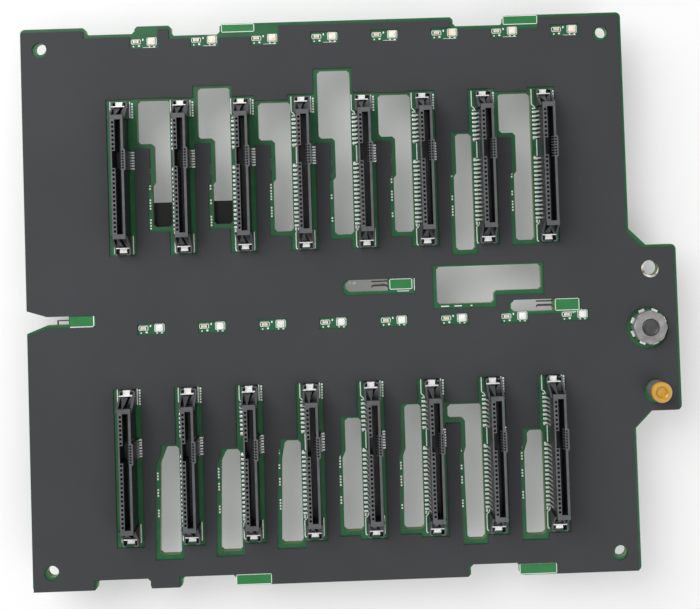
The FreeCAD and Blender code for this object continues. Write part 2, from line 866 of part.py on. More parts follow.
def plunger_housing():
    """Eight-sided collar with small feet on the front face, and the barrel that carries the pin."""
    barrel = size("barrel_dia") / 2
    bore = size("pin_dia") / 2 + size("pin_clearance")
    chamber = barrel - size("barrel_wall")
    stem = size("stem_dia") / 2 + size("barrel_clearance")
    floor = -size("barrel_length")
    inner_floor = floor + size("barrel_end_wall")
    top, step = size("collar_thick"), size("pin_step")
    body = revolved("plunger_housing", size("plunger_x"), size("plunger_y"), (
        (bore, size("foot_thick")), (barrel, size("foot_thick")), (barrel, floor), (stem, floor),
        (stem, inner_floor), (chamber, inner_floor), (chamber, step), (bore, step),
    ))
    sketch = new_sketch(body, 0)
    half = size("foot_width") / 2
    rectangle(sketch, barrel - half, size("foot_reach"), -half, half)
    foot = pad(body, sketch, size("foot_thick"))
    body.setExpression("Placement.Rotation.Angle", f"{HALF_SIDE} deg")
    pattern = body.newObject("PartDesign::PolarPattern", "plunger_housing_feet")
    pattern.Originals = [foot]
    axis = [feature for feature in body.Origin.OriginFeatures if feature.Role == "Z_Axis"][0]
    pattern.Axis = (axis, [""])
    pattern.Angle = 360
    pattern.Occurrences = COLLAR_SIDES
    sketch = new_sketch(body, 0)
    eight_sides(sketch, size("collar_corner_dia") / 2)
    pad(body, sketch, top)
    sketch = new_sketch(body, top)
    circle(sketch, 0, 0, bore * 2)
    pocket(body, sketch, top)


def eight_sides(sketch, radius):
    """A regular eight-sided outline about the origin, with a side across each foot."""
    long = radius * cosine(HALF_SIDE)
    short = radius * cosine(90 - HALF_SIDE)
    polygon(sketch, (
        (long, -short), (long, short), (short, long), (-short, long),
        (-long, short), (-long, -short), (-short, -long), (short, -long),
    ))


def cosine(angle):
    """Cosine of an angle in degrees as a Length, without unit."""
    return Length(math.cos(math.radians(angle)), f"cos({angle} deg)")


def plunger_pin():
    """Pin with its flange and stem; the flange rests on the step inside the housing."""
    pin, flange, stem = size("pin_dia") / 2, size("pin_flange_dia") / 2, size("stem_dia") / 2
    step = size("pin_step")
    low = step - size("pin_flange_thick")
    axis = 0
    revolved("plunger_pin", size("plunger_x"), size("plunger_y"), (
        (axis, size("pin_tip")), (pin, size("pin_tip")), (pin, step), (flange, step),
        (flange, low), (stem, low), (stem, size("knob_top")), (axis, size("knob_top")),
    ))


def plunger_knob():
    """Pull knob on the end of the pin, behind the board."""
    body = new_body("plunger_knob")
    sketch = new_sketch(body, size("knob_top") - size("knob_thick"))
    circle(sketch, 0, 0, size("knob_dia"))
    pad(body, sketch, size("knob_thick"))
    place(body, size("plunger_x"), size("plunger_y"))


def plunger_spring():
    """Sleeve in the space of the coil spring, between the pin's flange and the housing's end wall."""
    inner = (size("spring_mean_dia") - size("spring_wire")) / 2
    outer = inner + size("spring_wire")
    top = size("pin_step") - size("pin_flange_thick")
    bottom = size("barrel_end_wall") - size("barrel_length")
    revolved("plunger_spring", size("plunger_x"), size("plunger_y"), (
        (inner, bottom), (outer, bottom), (outer, top), (inner, top),
    ))


def guide_post():
    """Round post riveted to the ear, its foot on the rear face."""
    post, shank, foot = size("post_dia") / 2, size("post_shank_dia") / 2, size("post_foot_dia") / 2
    rear = -size("board_thick")
    low = rear - size("post_foot_thick")
    revolved("guide_post", size("post_x"), size("post_y"), (
        (0, size("post_height")), (post, size("post_height")), (post, 0), (shank, 0),
        (shank, rear), (foot, rear), (foot, low), (0, low),
    ))


def guide_post_cap():
    """Dished cap on the guide post."""
    post, recess = size("post_dia") / 2, size("cap_recess_dia") / 2
    low = size("post_height")
    top = low + size("cap_thick")
    revolved("guide_post_cap", size("post_x"), size("post_y"), (
        (0, low), (post, low), (post, top), (recess, top), (0, top - size("cap_recess_depth")),
    ))


def power_header():
    """Power header on the rear face, open to the rear, with two rows of pins."""
    rear, height = -size("board_thick"), size("rear_part_height")
    left, bottom = size("header_left"), size("header_bottom")
    right, top = left + size("header_length"), bottom + size("header_width")
    wall = size("header_wall")
    body = new_body("power_header")
    sketch = new_sketch(body, rear - height)
    rectangle(sketch, left, right, bottom, top)
    pad(body, sketch, height)
    sketch = new_sketch(body, rear - size("header_floor"))
    rectangle(sketch, left + wall, right - wall, bottom + wall, top - wall)
    pocket(body, sketch, height)
    pins = new_body("power_header_pins")
    sketch = new_sketch(pins, -size("header_pin_length"))
    half = size("header_pin") / 2
    rectangle(sketch, -half, half, -half, half)
    first = pad(pins, sketch, size("header_pin_length"))
    row = repeat(pins, [first], "X_Axis", size("header_pin_pitch_x"), HEADER_PINS)
    sketch = new_sketch(pins, -size("header_pin_length"))
    rectangle(sketch, -half, half, size("header_pin_pitch_y") - half, size("header_pin_pitch_y") + half)
    second = pad(pins, sketch, size("header_pin_length"))
    repeat(pins, [second], "X_Axis", size("header_pin_pitch_x"), HEADER_PINS)
    first_x = left + size("header_length") / 2 - size("header_pin_pitch_x") * ((HEADER_PINS - 1) / 2)
    first_y = bottom + size("header_width") / 2 - size("header_pin_pitch_y") / 2
    place(pins, first_x, first_y, rear - size("header_floor"))


def cable_socket(number, upright):
    """Shrouded cable socket on the rear face and the contact tongue inside it."""
    rear, height = -size("board_thick"), size("rear_part_height")
    along, across = size("cable_socket_length"), size("cable_socket_width")
    wall = size("cable_socket_wall")
    tongue, tongue_long = size("cable_tongue_thick"), size("cable_tongue_length")
    floor = rear - size("cable_socket_floor")
    spans = [(length(0), along), (length(0), across)]
    walls = [(wall, along - wall), (wall, across - wall)]
    blade = [
        ((along - tongue_long) / 2, (along + tongue_long) / 2),
        ((across - tongue) / 2, (across + tongue) / 2),
    ]
    if upright:
        spans.reverse()
        walls.reverse()
        blade.reverse()
    x, y = size(f"cable_socket_{number}_left"), size(f"cable_socket_{number}_bottom")
    shell = new_body(f"cable_socket_{number}")
    sketch = new_sketch(shell, rear - height)
    rectangle(sketch, *spans[0], *spans[1])
    pad(shell, sketch, height)
    sketch = new_sketch(shell, floor)
    rectangle(sketch, *walls[0], *walls[1])
    pocket(shell, sketch, height)
    place(shell, x, y)
    inner = new_body(f"cable_tongue_{number}")
    sketch = new_sketch(inner, floor - size("cable_tongue_height"))
    rectangle(sketch, *blade[0], *blade[1])
    pad(inner, sketch, size("cable_tongue_height"))
    place(inner, x, y)


def controller_chip():
    """Square controller chip on the rear face."""
    body = new_body("controller_chip")
    half = size("chip_side") / 2
    sketch = new_sketch(body, -size("board_thick") - size("chip_thick"))
    rectangle(sketch, -half, half, -half, half)
    pad(body, sketch, size("chip_thick"))
    place(body, size("chip_x"), size("chip_y"))


def build():
    """Make every sub-part."""
    circuit_board()
    insulator_sheet()
    rows = (("upper", "upper_row_y"), ("lower", "lower_row_y"))
    number = 0
    for row, y in rows:
        for place_in_row in range(SOCKETS_IN_ROW):
            number += 1
            drive_socket(f"drive_socket_{number:02d}", socket_x(place_in_row), size(y))
            socket_contacts(f"socket_contacts_{number:02d}", socket_x(place_in_row), size(y))
        board_locks(f"board_locks_{row}_row", size(y))
    for row, y in zip(("upper", "middle"), led_heights()):
        small = size("small_led_length"), size("small_led_width"), size("small_led_thick")
        large = size("large_led_side"), size("large_led_side"), size("large_led_thick")
        led_row(f"small_leds_{row}_row", size("small_led_x"), y, *small)
        led_row(f"large_leds_{row}_row", size("large_led_x"), y, *large)
    hook_slot_springs()
    plunger_housing()
    plunger_pin()
    plunger_knob()
    plunger_spring()
    guide_post()
    guide_post_cap()
    power_header()
    for socket, (left, bottom, upright) in enumerate(CABLE_SOCKETS, 1):
        cable_socket(socket, upright)
    controller_chip()


def export():
    """Check every object and write each sub-part to its own file."""
    doc.recompute()
    os.makedirs("parts", exist_ok=True)
    for item in doc.Objects:
        if "Invalid" in item.State or "Error" in item.State:
            raise RuntimeError(f"{item.Label} did not build")
    for item in doc.Objects:
        if item.TypeId != "PartDesign::Body":
            continue
        shape = item.Shape
        if shape.isNull() or not shape.isValid() or not shape.Solids:
            raise RuntimeError(f"{item.Label} has no valid solid")
        shape.exportStep(f"parts/{item.Label}.step")
        print(item.Label, len(shape.Solids), round(shape.Volume, 1))


build()
export()
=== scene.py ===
import logging
import math
import random
from collections.abc import Callable
from dataclasses import dataclass
from enum import Enum
from typing import ClassVar

import bpy
from mathutils import Matrix, Vector


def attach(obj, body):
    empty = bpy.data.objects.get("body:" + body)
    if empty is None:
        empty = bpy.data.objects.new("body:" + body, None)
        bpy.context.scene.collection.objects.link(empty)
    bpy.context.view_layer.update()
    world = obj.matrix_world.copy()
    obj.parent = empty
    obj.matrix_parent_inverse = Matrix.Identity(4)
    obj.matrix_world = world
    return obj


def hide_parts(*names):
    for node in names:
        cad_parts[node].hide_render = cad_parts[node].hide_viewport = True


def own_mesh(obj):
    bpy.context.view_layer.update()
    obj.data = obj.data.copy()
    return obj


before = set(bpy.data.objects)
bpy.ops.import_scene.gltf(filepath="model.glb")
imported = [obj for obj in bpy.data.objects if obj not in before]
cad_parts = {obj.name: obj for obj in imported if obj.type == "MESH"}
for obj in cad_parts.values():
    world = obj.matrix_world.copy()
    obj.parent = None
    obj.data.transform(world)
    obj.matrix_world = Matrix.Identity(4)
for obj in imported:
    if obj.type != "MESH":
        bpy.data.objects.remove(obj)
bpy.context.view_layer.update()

MM = 0.001
ROOT = "backplane"
PLUNGER = "plunger"
log = logging.getLogger("drive_backplane")

Point = tuple[float, float]
Corner = tuple[float, float, float]
Colour = tuple[float, float, float]
Piece = bpy.types.Object
Tree = bpy.types.NodeTree


class Row(Enum):
    """The two rows of drive sockets, by the height of their contact centre in mm."""

    UPPER = 38.25
    LOWER = -47.1


class LightRow(Enum):
    """The two rows of status lights, by their height on the board in mm."""

    UPPER = 78.85
    MIDDLE = -6.75


class Merge(Enum):
    """What one solid does to another."""

    ADD = "UNION"
    CUT = "DIFFERENCE"


@dataclass(frozen=True)
class Layout:
    """Places shared by the pieces on the front face, in mm."""

    first_socket: float = -60.1
    pitch: float = 18.05
    in_row: int = 8
    contact_pitch: float = 1.27
    first_signal: float = 15.875
    signals: int = 7
    first_power: float = 1.905
    powers: int = 15
    fine_pitch: float = 0.8
    fine_middle: float = 5.0
    fines: int = 7

    def socket_x(self, number: int) -> float:
        """Slot centre of a socket by its number in the row."""
        return self.first_socket + self.pitch * number

    def left_contacts(self) -> list[float]:
        """Heights of the coarse contacts of one socket."""
        runs = ((self.first_signal, self.signals), (self.first_power, self.powers))
        return [first - self.contact_pitch * i for first, count in runs for i in range(count)]

    def fine_contacts(self) -> list[float]:
        """Heights of the fine contacts of one socket."""
        half = self.fines // 2
        return [self.fine_middle + self.fine_pitch * (i - half) for i in range(self.fines)]

    def sockets(self) -> list[tuple[str, float, float]]:
        """Two-figure number, slot centre and contact centre of every socket."""
        places = [(self.socket_x(i), row.value) for row in Row for i in range(self.in_row)]
        return [(f"{count:02d}", x, y) for count, (x, y) in enumerate(places, 1)]


LAYOUT = Layout()


class Bench:
    """Modelling moves shared by all new pieces; sizes come in mm and leave in metres."""

    # How far a cutter stands out of the face that it cuts, in mm.
    CLEAR: ClassVar[float] = 1.0

    @staticmethod
    def clear() -> None:
        """Leave edit mode and deselect everything."""
        if bpy.context.object and bpy.context.object.mode != "OBJECT":
            bpy.ops.object.mode_set(mode="OBJECT")
        bpy.ops.object.select_all(action="DESELECT")

    @staticmethod
    def pick(pieces: list[Piece]) -> None:
        """Select these pieces alone and make the first one active.

        Args:
            pieces: the pieces that the next operator is to act on.
        """
        Bench.clear()
        for piece in pieces:
            piece.select_set(True)
        bpy.context.view_layer.objects.active = pieces[0]

    @staticmethod
    def close_outward() -> None:
        """Turn all faces of the mesh that is being edited outwards and leave edit mode."""
        bpy.ops.mesh.select_all(action="SELECT")
        bpy.ops.mesh.normals_make_consistent(inside=False)
        bpy.ops.object.mode_set(mode="OBJECT")

    @staticmethod
    def prism(outline: list[Point], low: float, high: float) -> Piece:
        """A closed prism over an outline.

        Args:
            outline: corners in turn, in mm.
            low: height of its underside.
            high: height of its top.

        Returns:
            The new object.
        """
        Bench.clear()
        bpy.ops.mesh.primitive_circle_add(vertices=len(outline), fill_type="NGON", radius=1)
        piece = bpy.context.object
        for vertex, (x, y) in zip(piece.data.vertices, outline):
            vertex.co = Vector((x, y, low)) * MM
        bpy.ops.object.mode_set(mode="EDIT")
        bpy.ops.mesh.select_all(action="SELECT")
        lift = (0, 0, (high - low) * MM)
        bpy.ops.mesh.extrude_region_move(TRANSFORM_OT_translate={"value": lift})
        Bench.close_outward()
        return piece

    @staticmethod
    def block(
        left: float, right: float, near: float, far: float, low: float, high: float) -> Piece:
        """A block between six planes, in mm."""
        return Bench.prism([(left, near), (right, near), (right, far), (left, far)], low, high)

    @staticmethod
    def bar(
        left: float, right: float, middle: float, half: float, low: float, high: float) -> Piece:
        """A block that reaches equally far to both sides of its middle height."""
        return Bench.block(left, right, middle - half, middle + half, low, high)

    @staticmethod
    def turned(profile: tuple[Point, ...], steps: int = 40) -> Piece:
        """A turned shape about the upright axis.

        Args:
            profile: radius and height in turn, in mm.
            steps: steps round the axis.

        Returns:
            The new object, closed on the axis.
        """
        Bench.clear()
        bpy.ops.mesh.primitive_circle_add(vertices=len(profile), fill_type="NOTHING", radius=1)
        piece = bpy.context.object
        for vertex, (radius, height) in zip(piece.data.vertices, profile):
            vertex.co = Vector((radius, 0, height)) * MM
        bpy.ops.object.mode_set(mode="EDIT")
        bpy.ops.mesh.select_all(action="SELECT")
        bpy.ops.mesh.spin(steps=steps, angle=math.tau, center=(0, 0, 0), axis=(0, 0, 1))
        bpy.ops.mesh.select_all(action="SELECT")
        bpy.ops.mesh.remove_doubles(threshold=1e-6)
        Bench.close_outward()
        return piece

    @staticmethod
    def join(pieces: list[Piece]) -> Piece:
        """One object of several, each keeping its own shell.

        Args:
            pieces: the objects, of which the first takes in the others.

        Returns:
            The first object.
        """
        Bench.pick(pieces)
        if len(pieces) > 1:
            bpy.ops.object.join()
        return pieces[0]

    @staticmethod
    def modify(piece: Piece, kind: str, **settings: object) -> None:
        """Add one modifier and apply it.

        Args:
            piece: the object that it changes.
            kind: type of modifier.
            settings: the modifier's settings by name.
        """
        Bench.pick([piece])
        modifier = piece.modifiers.new(kind.lower(), kind)
        for name, value in settings.items():
            setattr(modifier, name, value)
        bpy.ops.object.modifier_apply(modifier=modifier.name)

    @staticmethod
    def combine(piece: Piece, other: Piece, merge: Merge) -> None:
        """Unite with or cut by another object, which is used up."""
        Bench.modify(piece, "BOOLEAN", object=other, operation=merge.value, solver="EXACT")
        bpy.data.objects.remove(other)

    @staticmethod
    def repeat(piece: Piece) -> None:
        """Repeat a piece beside every socket of a row."""
        Bench.modify(
            piece, "ARRAY", count=LAYOUT.in_row, use_relative_offset=False,
            use_constant_offset=True, constant_offset_displace=(LAYOUT.pitch * MM, 0.0, 0.0))

    @staticmethod
    def soften(piece: Piece, width: float, segments: int = 1) -> Piece:
        """Bevel the sharp edges of a piece by a width in mm."""
        Bench.modify(
            piece, "BEVEL", width=width * MM, segments=segments,
            limit_method="ANGLE", angle_limit=math.radians(40), use_clamp_overlap=True)
        return piece

    @staticmethod
    def lower(piece: Piece, chosen: Callable[[Vector], bool], height: float) -> Piece:
        """Slope a piece by bringing some of its corners down.

        Args:
            piece: the object, which is changed.
            chosen: says for a corner's place in mm whether it is brought down.
            height: the new height of these corners.

        Returns:
            The same object.
        """
        for vertex in piece.data.vertices:
            if chosen(vertex.co / MM):
                vertex.co.z = height * MM
        return piece

    @staticmethod
    def moved(piece: Piece, place: Corner) -> Piece:
        """Move the mesh of a piece by a place in mm."""
        piece.data.transform(Matrix.Translation(Vector(place) * MM))
        return piece

    @staticmethod
    def copy(piece: Piece, place: Corner) -> Piece:
        """A copy of a piece with a mesh of its own.

        Args:
            piece: the pattern.
            place: how far the copy is moved, in mm.

        Returns:
            The copy.
        """
        twin = piece.copy()
        twin.data = piece.data.copy()
        bpy.context.collection.objects.link(twin)
        return Bench.moved(twin, place)

    @staticmethod
    def finish(
        piece: Piece, name: str, finish: "Finish", nodes: tuple[str, ...] = (), body: str = ROOT,
    ) -> None:
        """Name a piece, dress it and tie it to its body.

        Args:
            piece: the object with its final mesh.
            name: its name.
            finish: what it looks like.
            nodes: the CAD nodes that it stands for.
            body: the body that it rides on.
        """
        piece.name = name
        piece.data.name = name
        piece.data.materials.clear()
        piece.data.materials.append(finish.material())
        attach(piece, body)
        if nodes:
            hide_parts(*nodes)
        log.info("%s: %d faces", name, len(piece.data.polygons))


class Shade:
    """A shader socket; arithmetic on it adds Math nodes."""

    def __init__(self, tree: Tree, socket: bpy.types.NodeSocket) -> None:
        """Wrap one output socket of a tree."""
        self.tree = tree
        self.socket = socket

    def _math(self, operation: str, first: object, second: object) -> "Shade":
        """One Math node over two values."""
        return node(self.tree, "ShaderNodeMath", {"operation": operation}, {0: first, 1: second})

    def __add__(self, other: object) -> "Shade":
        """Sum."""
        return self._math("ADD", self, other)

    def __sub__(self, other: object) -> "Shade":
        """Difference."""
        return self._math("SUBTRACT", self, other)

    def __rsub__(self, other: object) -> "Shade":
        """Difference from a number."""
        return self._math("SUBTRACT", other, self)

    def __mul__(self, other: object) -> "Shade":
        """Product."""
        return self._math("MULTIPLY", self, other)

    def __lt__(self, other: object) -> "Shade":
        """One where this is the less."""
        return self._math("LESS_THAN", self, other)

    def __abs__(self) -> "Shade":
        """Size without sign."""
        return self._math("ABSOLUTE", self, 0.0)


def node(
    tree: Tree, kind: str, settings: dict, inputs: dict, output: object = 0,
) -> Shade:
    """Add a node.

    Args:
        tree: the material's tree.
        kind: type of node.
        settings: its settings, set first.
        inputs: values or links of its sockets by name or number.
        output: the output socket that is handed back.

    Returns:
        The output as a Shade.
    """
    made = tree.nodes.new(kind)
    for name, value in settings.items():
        setattr(made, name, value)
    for name, value in inputs.items():
        if isinstance(value, Shade):
            tree.links.new(value.socket, made.inputs[name])
        elif isinstance(value, tuple):
            made.inputs[name].default_value = (*value, 1.0)
        else:
            made.inputs[name].default_value = value
    return Shade(tree, made.outputs[output])


def mixed(tree: Tree, factor: object, first: object, second: object) -> Shade:
    """Two colours mixed by a factor."""
    return node(tree, "ShaderNodeMix", {"data_type": "RGBA"}, {0: factor, 6: first, 7: second}, 2)


@dataclass(frozen=True)
class Finish:
    """A finish: a base colour mottled by a second one, with fine grain in gloss and height."""

    name: str
    colour: Colour
    second: Colour
    roughness: float = 0.5
    rough_spread: float = 0.1
    metallic: float = 0.0
    grain: float = 900.0
    mottle: float = 60.0
    bump: float = 0.1
    # Colour of upright faces: the board's cut fibre edge, and painted shade on the sides of
    # housings and solder.
    cut_edge_and_shade_colour: Colour | None = None
    # Whether that colour is painted shade laid by slope instead of all at once.
    painted_slope_shade: bool = False
    coat: float = 0.0
    coat_roughness: float = 0.15
    specular: float = 0.5
    contrast: float = 2.0
    slot: str = ""
    grain_height: ClassVar[float] = 0.0002
    upright_level: ClassVar[float] = 0.5

    def material(self) -> bpy.types.Material:
        """The material, made on first use.

        Returns:
            The material of this finish.
        """
        if self.name in bpy.data.materials:
            return bpy.data.materials[self.name]
        made = bpy.data.materials.new(self.name)
        made.use_nodes = True
        tree = made.node_tree
        shader = tree.nodes["Principled BSDF"]
        here = node(tree, "ShaderNodeTexCoord", {}, {}, "Object")
        cloud = node(
            tree, "ShaderNodeTexNoise", {}, {"Vector": here, "Scale": self.mottle, "Detail": 4.0})
        fine = node(
            tree, "ShaderNodeTexNoise", {}, {"Vector": here, "Scale": self.grain, "Detail": 2.0})
        height = node(
            tree, "ShaderNodeBump", {},
            {"Height": fine, "Strength": self.bump, "Distance": self.grain_height})
        rough = (fine - 0.5) * self.rough_spread + self.roughness
        varying = {"Base Color": self._colour(tree, cloud), "Roughness": rough, "Normal": height}
        for name, value in varying.items():
            tree.links.new(value.socket, shader.inputs[name])
        shader.inputs["Metallic"].default_value = self.metallic
        shader.inputs["Coat Weight"].default_value = self.coat
        shader.inputs["Coat Roughness"].default_value = self.coat_roughness
        shader.inputs["Specular IOR Level"].default_value = self.specular
        return made

    def _colour(self, tree: Tree, cloud: Shade) -> Shade:
        """Base colour over the surface, by the contrast of its mottling.

        Args:
            tree: the material's tree.
            cloud: the noise that mottles it.

        Returns:
            The colour, with the upright-face colour where there is one: the board's cut edge,
            painted shade on housings and solder.
        """
        share = node(
            tree, "ShaderNodeMath", {"operation": "MULTIPLY_ADD", "use_clamp": True},
            {0: cloud, 1: self.contrast, 2: 0.5 - 0.5 * self.contrast})
        return self._cut_edge_and_shade(tree, mixed(tree, share, self.colour, self.second))

    def _cut_edge_and_shade(self, tree: Tree, colour: Shade) -> Shade:
        """The upright-face colour laid on: the board's cut edge all at once, painted shade by
        slope.

        Args:
            tree: the material's tree.
            colour: the colour of the level faces.

        Returns:
            The colour of all faces.
        """
        if self.cut_edge_and_shade_colour is None:
            return colour
        facing = node(tree, "ShaderNodeTexCoord", {}, {}, "Normal")
        level = abs(node(tree, "ShaderNodeSeparateXYZ", {}, {0: facing}, 2))
        steep = 1.0 - level
        # Cubed steepness spreads painted shade over sloping faces; the hard step gives the board's
        # cut edge.
        upright = steep * steep * steep if self.painted_slope_shade else level < self.upright_level
        return mixed(tree, upright, colour, self.cut_edge_and_shade_colour)


BOARD = Finish(
    "green_solder_mask", (0.010, 0.085, 0.03), (0.018, 0.12, 0.044), roughness=0.45,
    mottle=220.0, cut_edge_and_shade_colour=(0.2, 0.3, 0.13), bump=0.15, specular=0.35,
    slot="green_board")
FILM = Finish(
    "matt_grey_film", (0.046, 0.047, 0.051), (0.055, 0.056, 0.060), roughness=0.7, mottle=30.0,
    grain=2500.0, bump=0.12, specular=0.15, contrast=1.5, slot="charcoal_film")
# Level faces get a lighter grey: partly the moulding's own dark grey, partly painted sheen of the
# lamps above. The upright-face colour is painted shade on the side walls.
HOUSING = Finish(
    "black_moulding", (0.075, 0.077, 0.083), (0.115, 0.117, 0.124), roughness=0.4, mottle=350.0,
    grain=3000.0, cut_edge_and_shade_colour=(0.014, 0.015, 0.017), painted_slope_shade=True, specular=0.4,
    slot="black_housing")
CAVITY = Finish(
    "contact_gold", (0.3, 0.2, 0.07), (0.42, 0.3, 0.12), roughness=0.35, metallic=1.0,
    mottle=700.0, contrast=1.0, slot="gold_contacts")
# The upright-face colour is painted shade on the rounded sides of every soldered part.
SOLDER = Finish(
    "bright_solder", (0.9, 0.91, 0.91), (0.76, 0.77, 0.78), roughness=0.3, metallic=0.4,
    mottle=900.0, grain=4000.0, cut_edge_and_shade_colour=(0.2, 0.17, 0.155), painted_slope_shade=True,
    slot="solder")
PLATED = Finish(
    "plated_metal", (0.36, 0.35, 0.35), (0.22, 0.215, 0.21), roughness=0.42, metallic=0.5,
    mottle=450.0, grain=3500.0, bump=0.4, contrast=2.2, slot="bright_metal")
LOCK = Finish(
    "tinned_lock", (0.95, 0.95, 0.94), (0.8, 0.81, 0.8), roughness=0.35, metallic=0.3,
    mottle=700.0, grain=3500.0, slot="bright_metal")
PIN = Finish(
    "dark_steel", (0.045, 0.045, 0.047), (0.085, 0.085, 0.088), roughness=0.45, metallic=0.4,
    mottle=400.0, grain=3000.0, slot="bright_metal")
WIRE = Finish(
    "dark_spring_wire", (0.04, 0.035, 0.03), (0.12, 0.1, 0.085), roughness=0.4, metallic=0.6,
    mottle=800.0, slot="spring_steel")
INK = Finish(
    "white_ink", (0.7, 0.76, 0.71), (0.86, 0.9, 0.87), roughness=0.6, mottle=1500.0,
    slot="cream_chip")
BARE = Finish(
    "bare_green_pad", (0.02, 0.16, 0.045), (0.028, 0.21, 0.06), roughness=0.45, mottle=260.0,
    specular=0.3, contrast=1.5, slot="green_board")
TAN = Finish(
    "tan_ceramic", (0.55, 0.4, 0.27), (0.78, 0.62, 0.46), roughness=0.5, mottle=900.0,
    slot="tan_chip")
CREAM = Finish(
    "cream_lens", (0.78, 0.66, 0.48), (0.95, 0.9, 0.78), roughness=0.25, mottle=600.0, coat=0.4,
    contrast=2.5, slot="cream_chip")
WHITE_LENS = Finish(
    "white_lens", (0.72, 0.72, 0.68), (0.95, 0.95, 0.92), roughness=0.25, mottle=600.0, coat=0.4,
    contrast=2.5, slot="cream_chip")
AMBER = Finish(
    "amber_moulding", (0.42, 0.19, 0.0), (0.72, 0.4, 0.005), roughness=0.22, mottle=260.0,
    coat=0.6, slot="amber_cap")
POST = Finish(
    "grey_post", (0.2, 0.2, 0.2), (0.34, 0.34, 0.33), roughness=0.4, metallic=0.4, mottle=300.0,
    slot="bright_metal")
COPPER = Finish(
    "worn_copper", (0.28, 0.14, 0.07), (0.9, 0.88, 0.84), roughness=0.35, metallic=0.4,
    mottle=420.0, contrast=5.0, slot="gold_contacts")
CHIP = Finish(
    "chip_case", (0.006, 0.0062, 0.007), (0.012, 0.012, 0.013), roughness=0.5, grain=2500.0,
    specular=0.2, contrast=1.0, slot="black_housing")


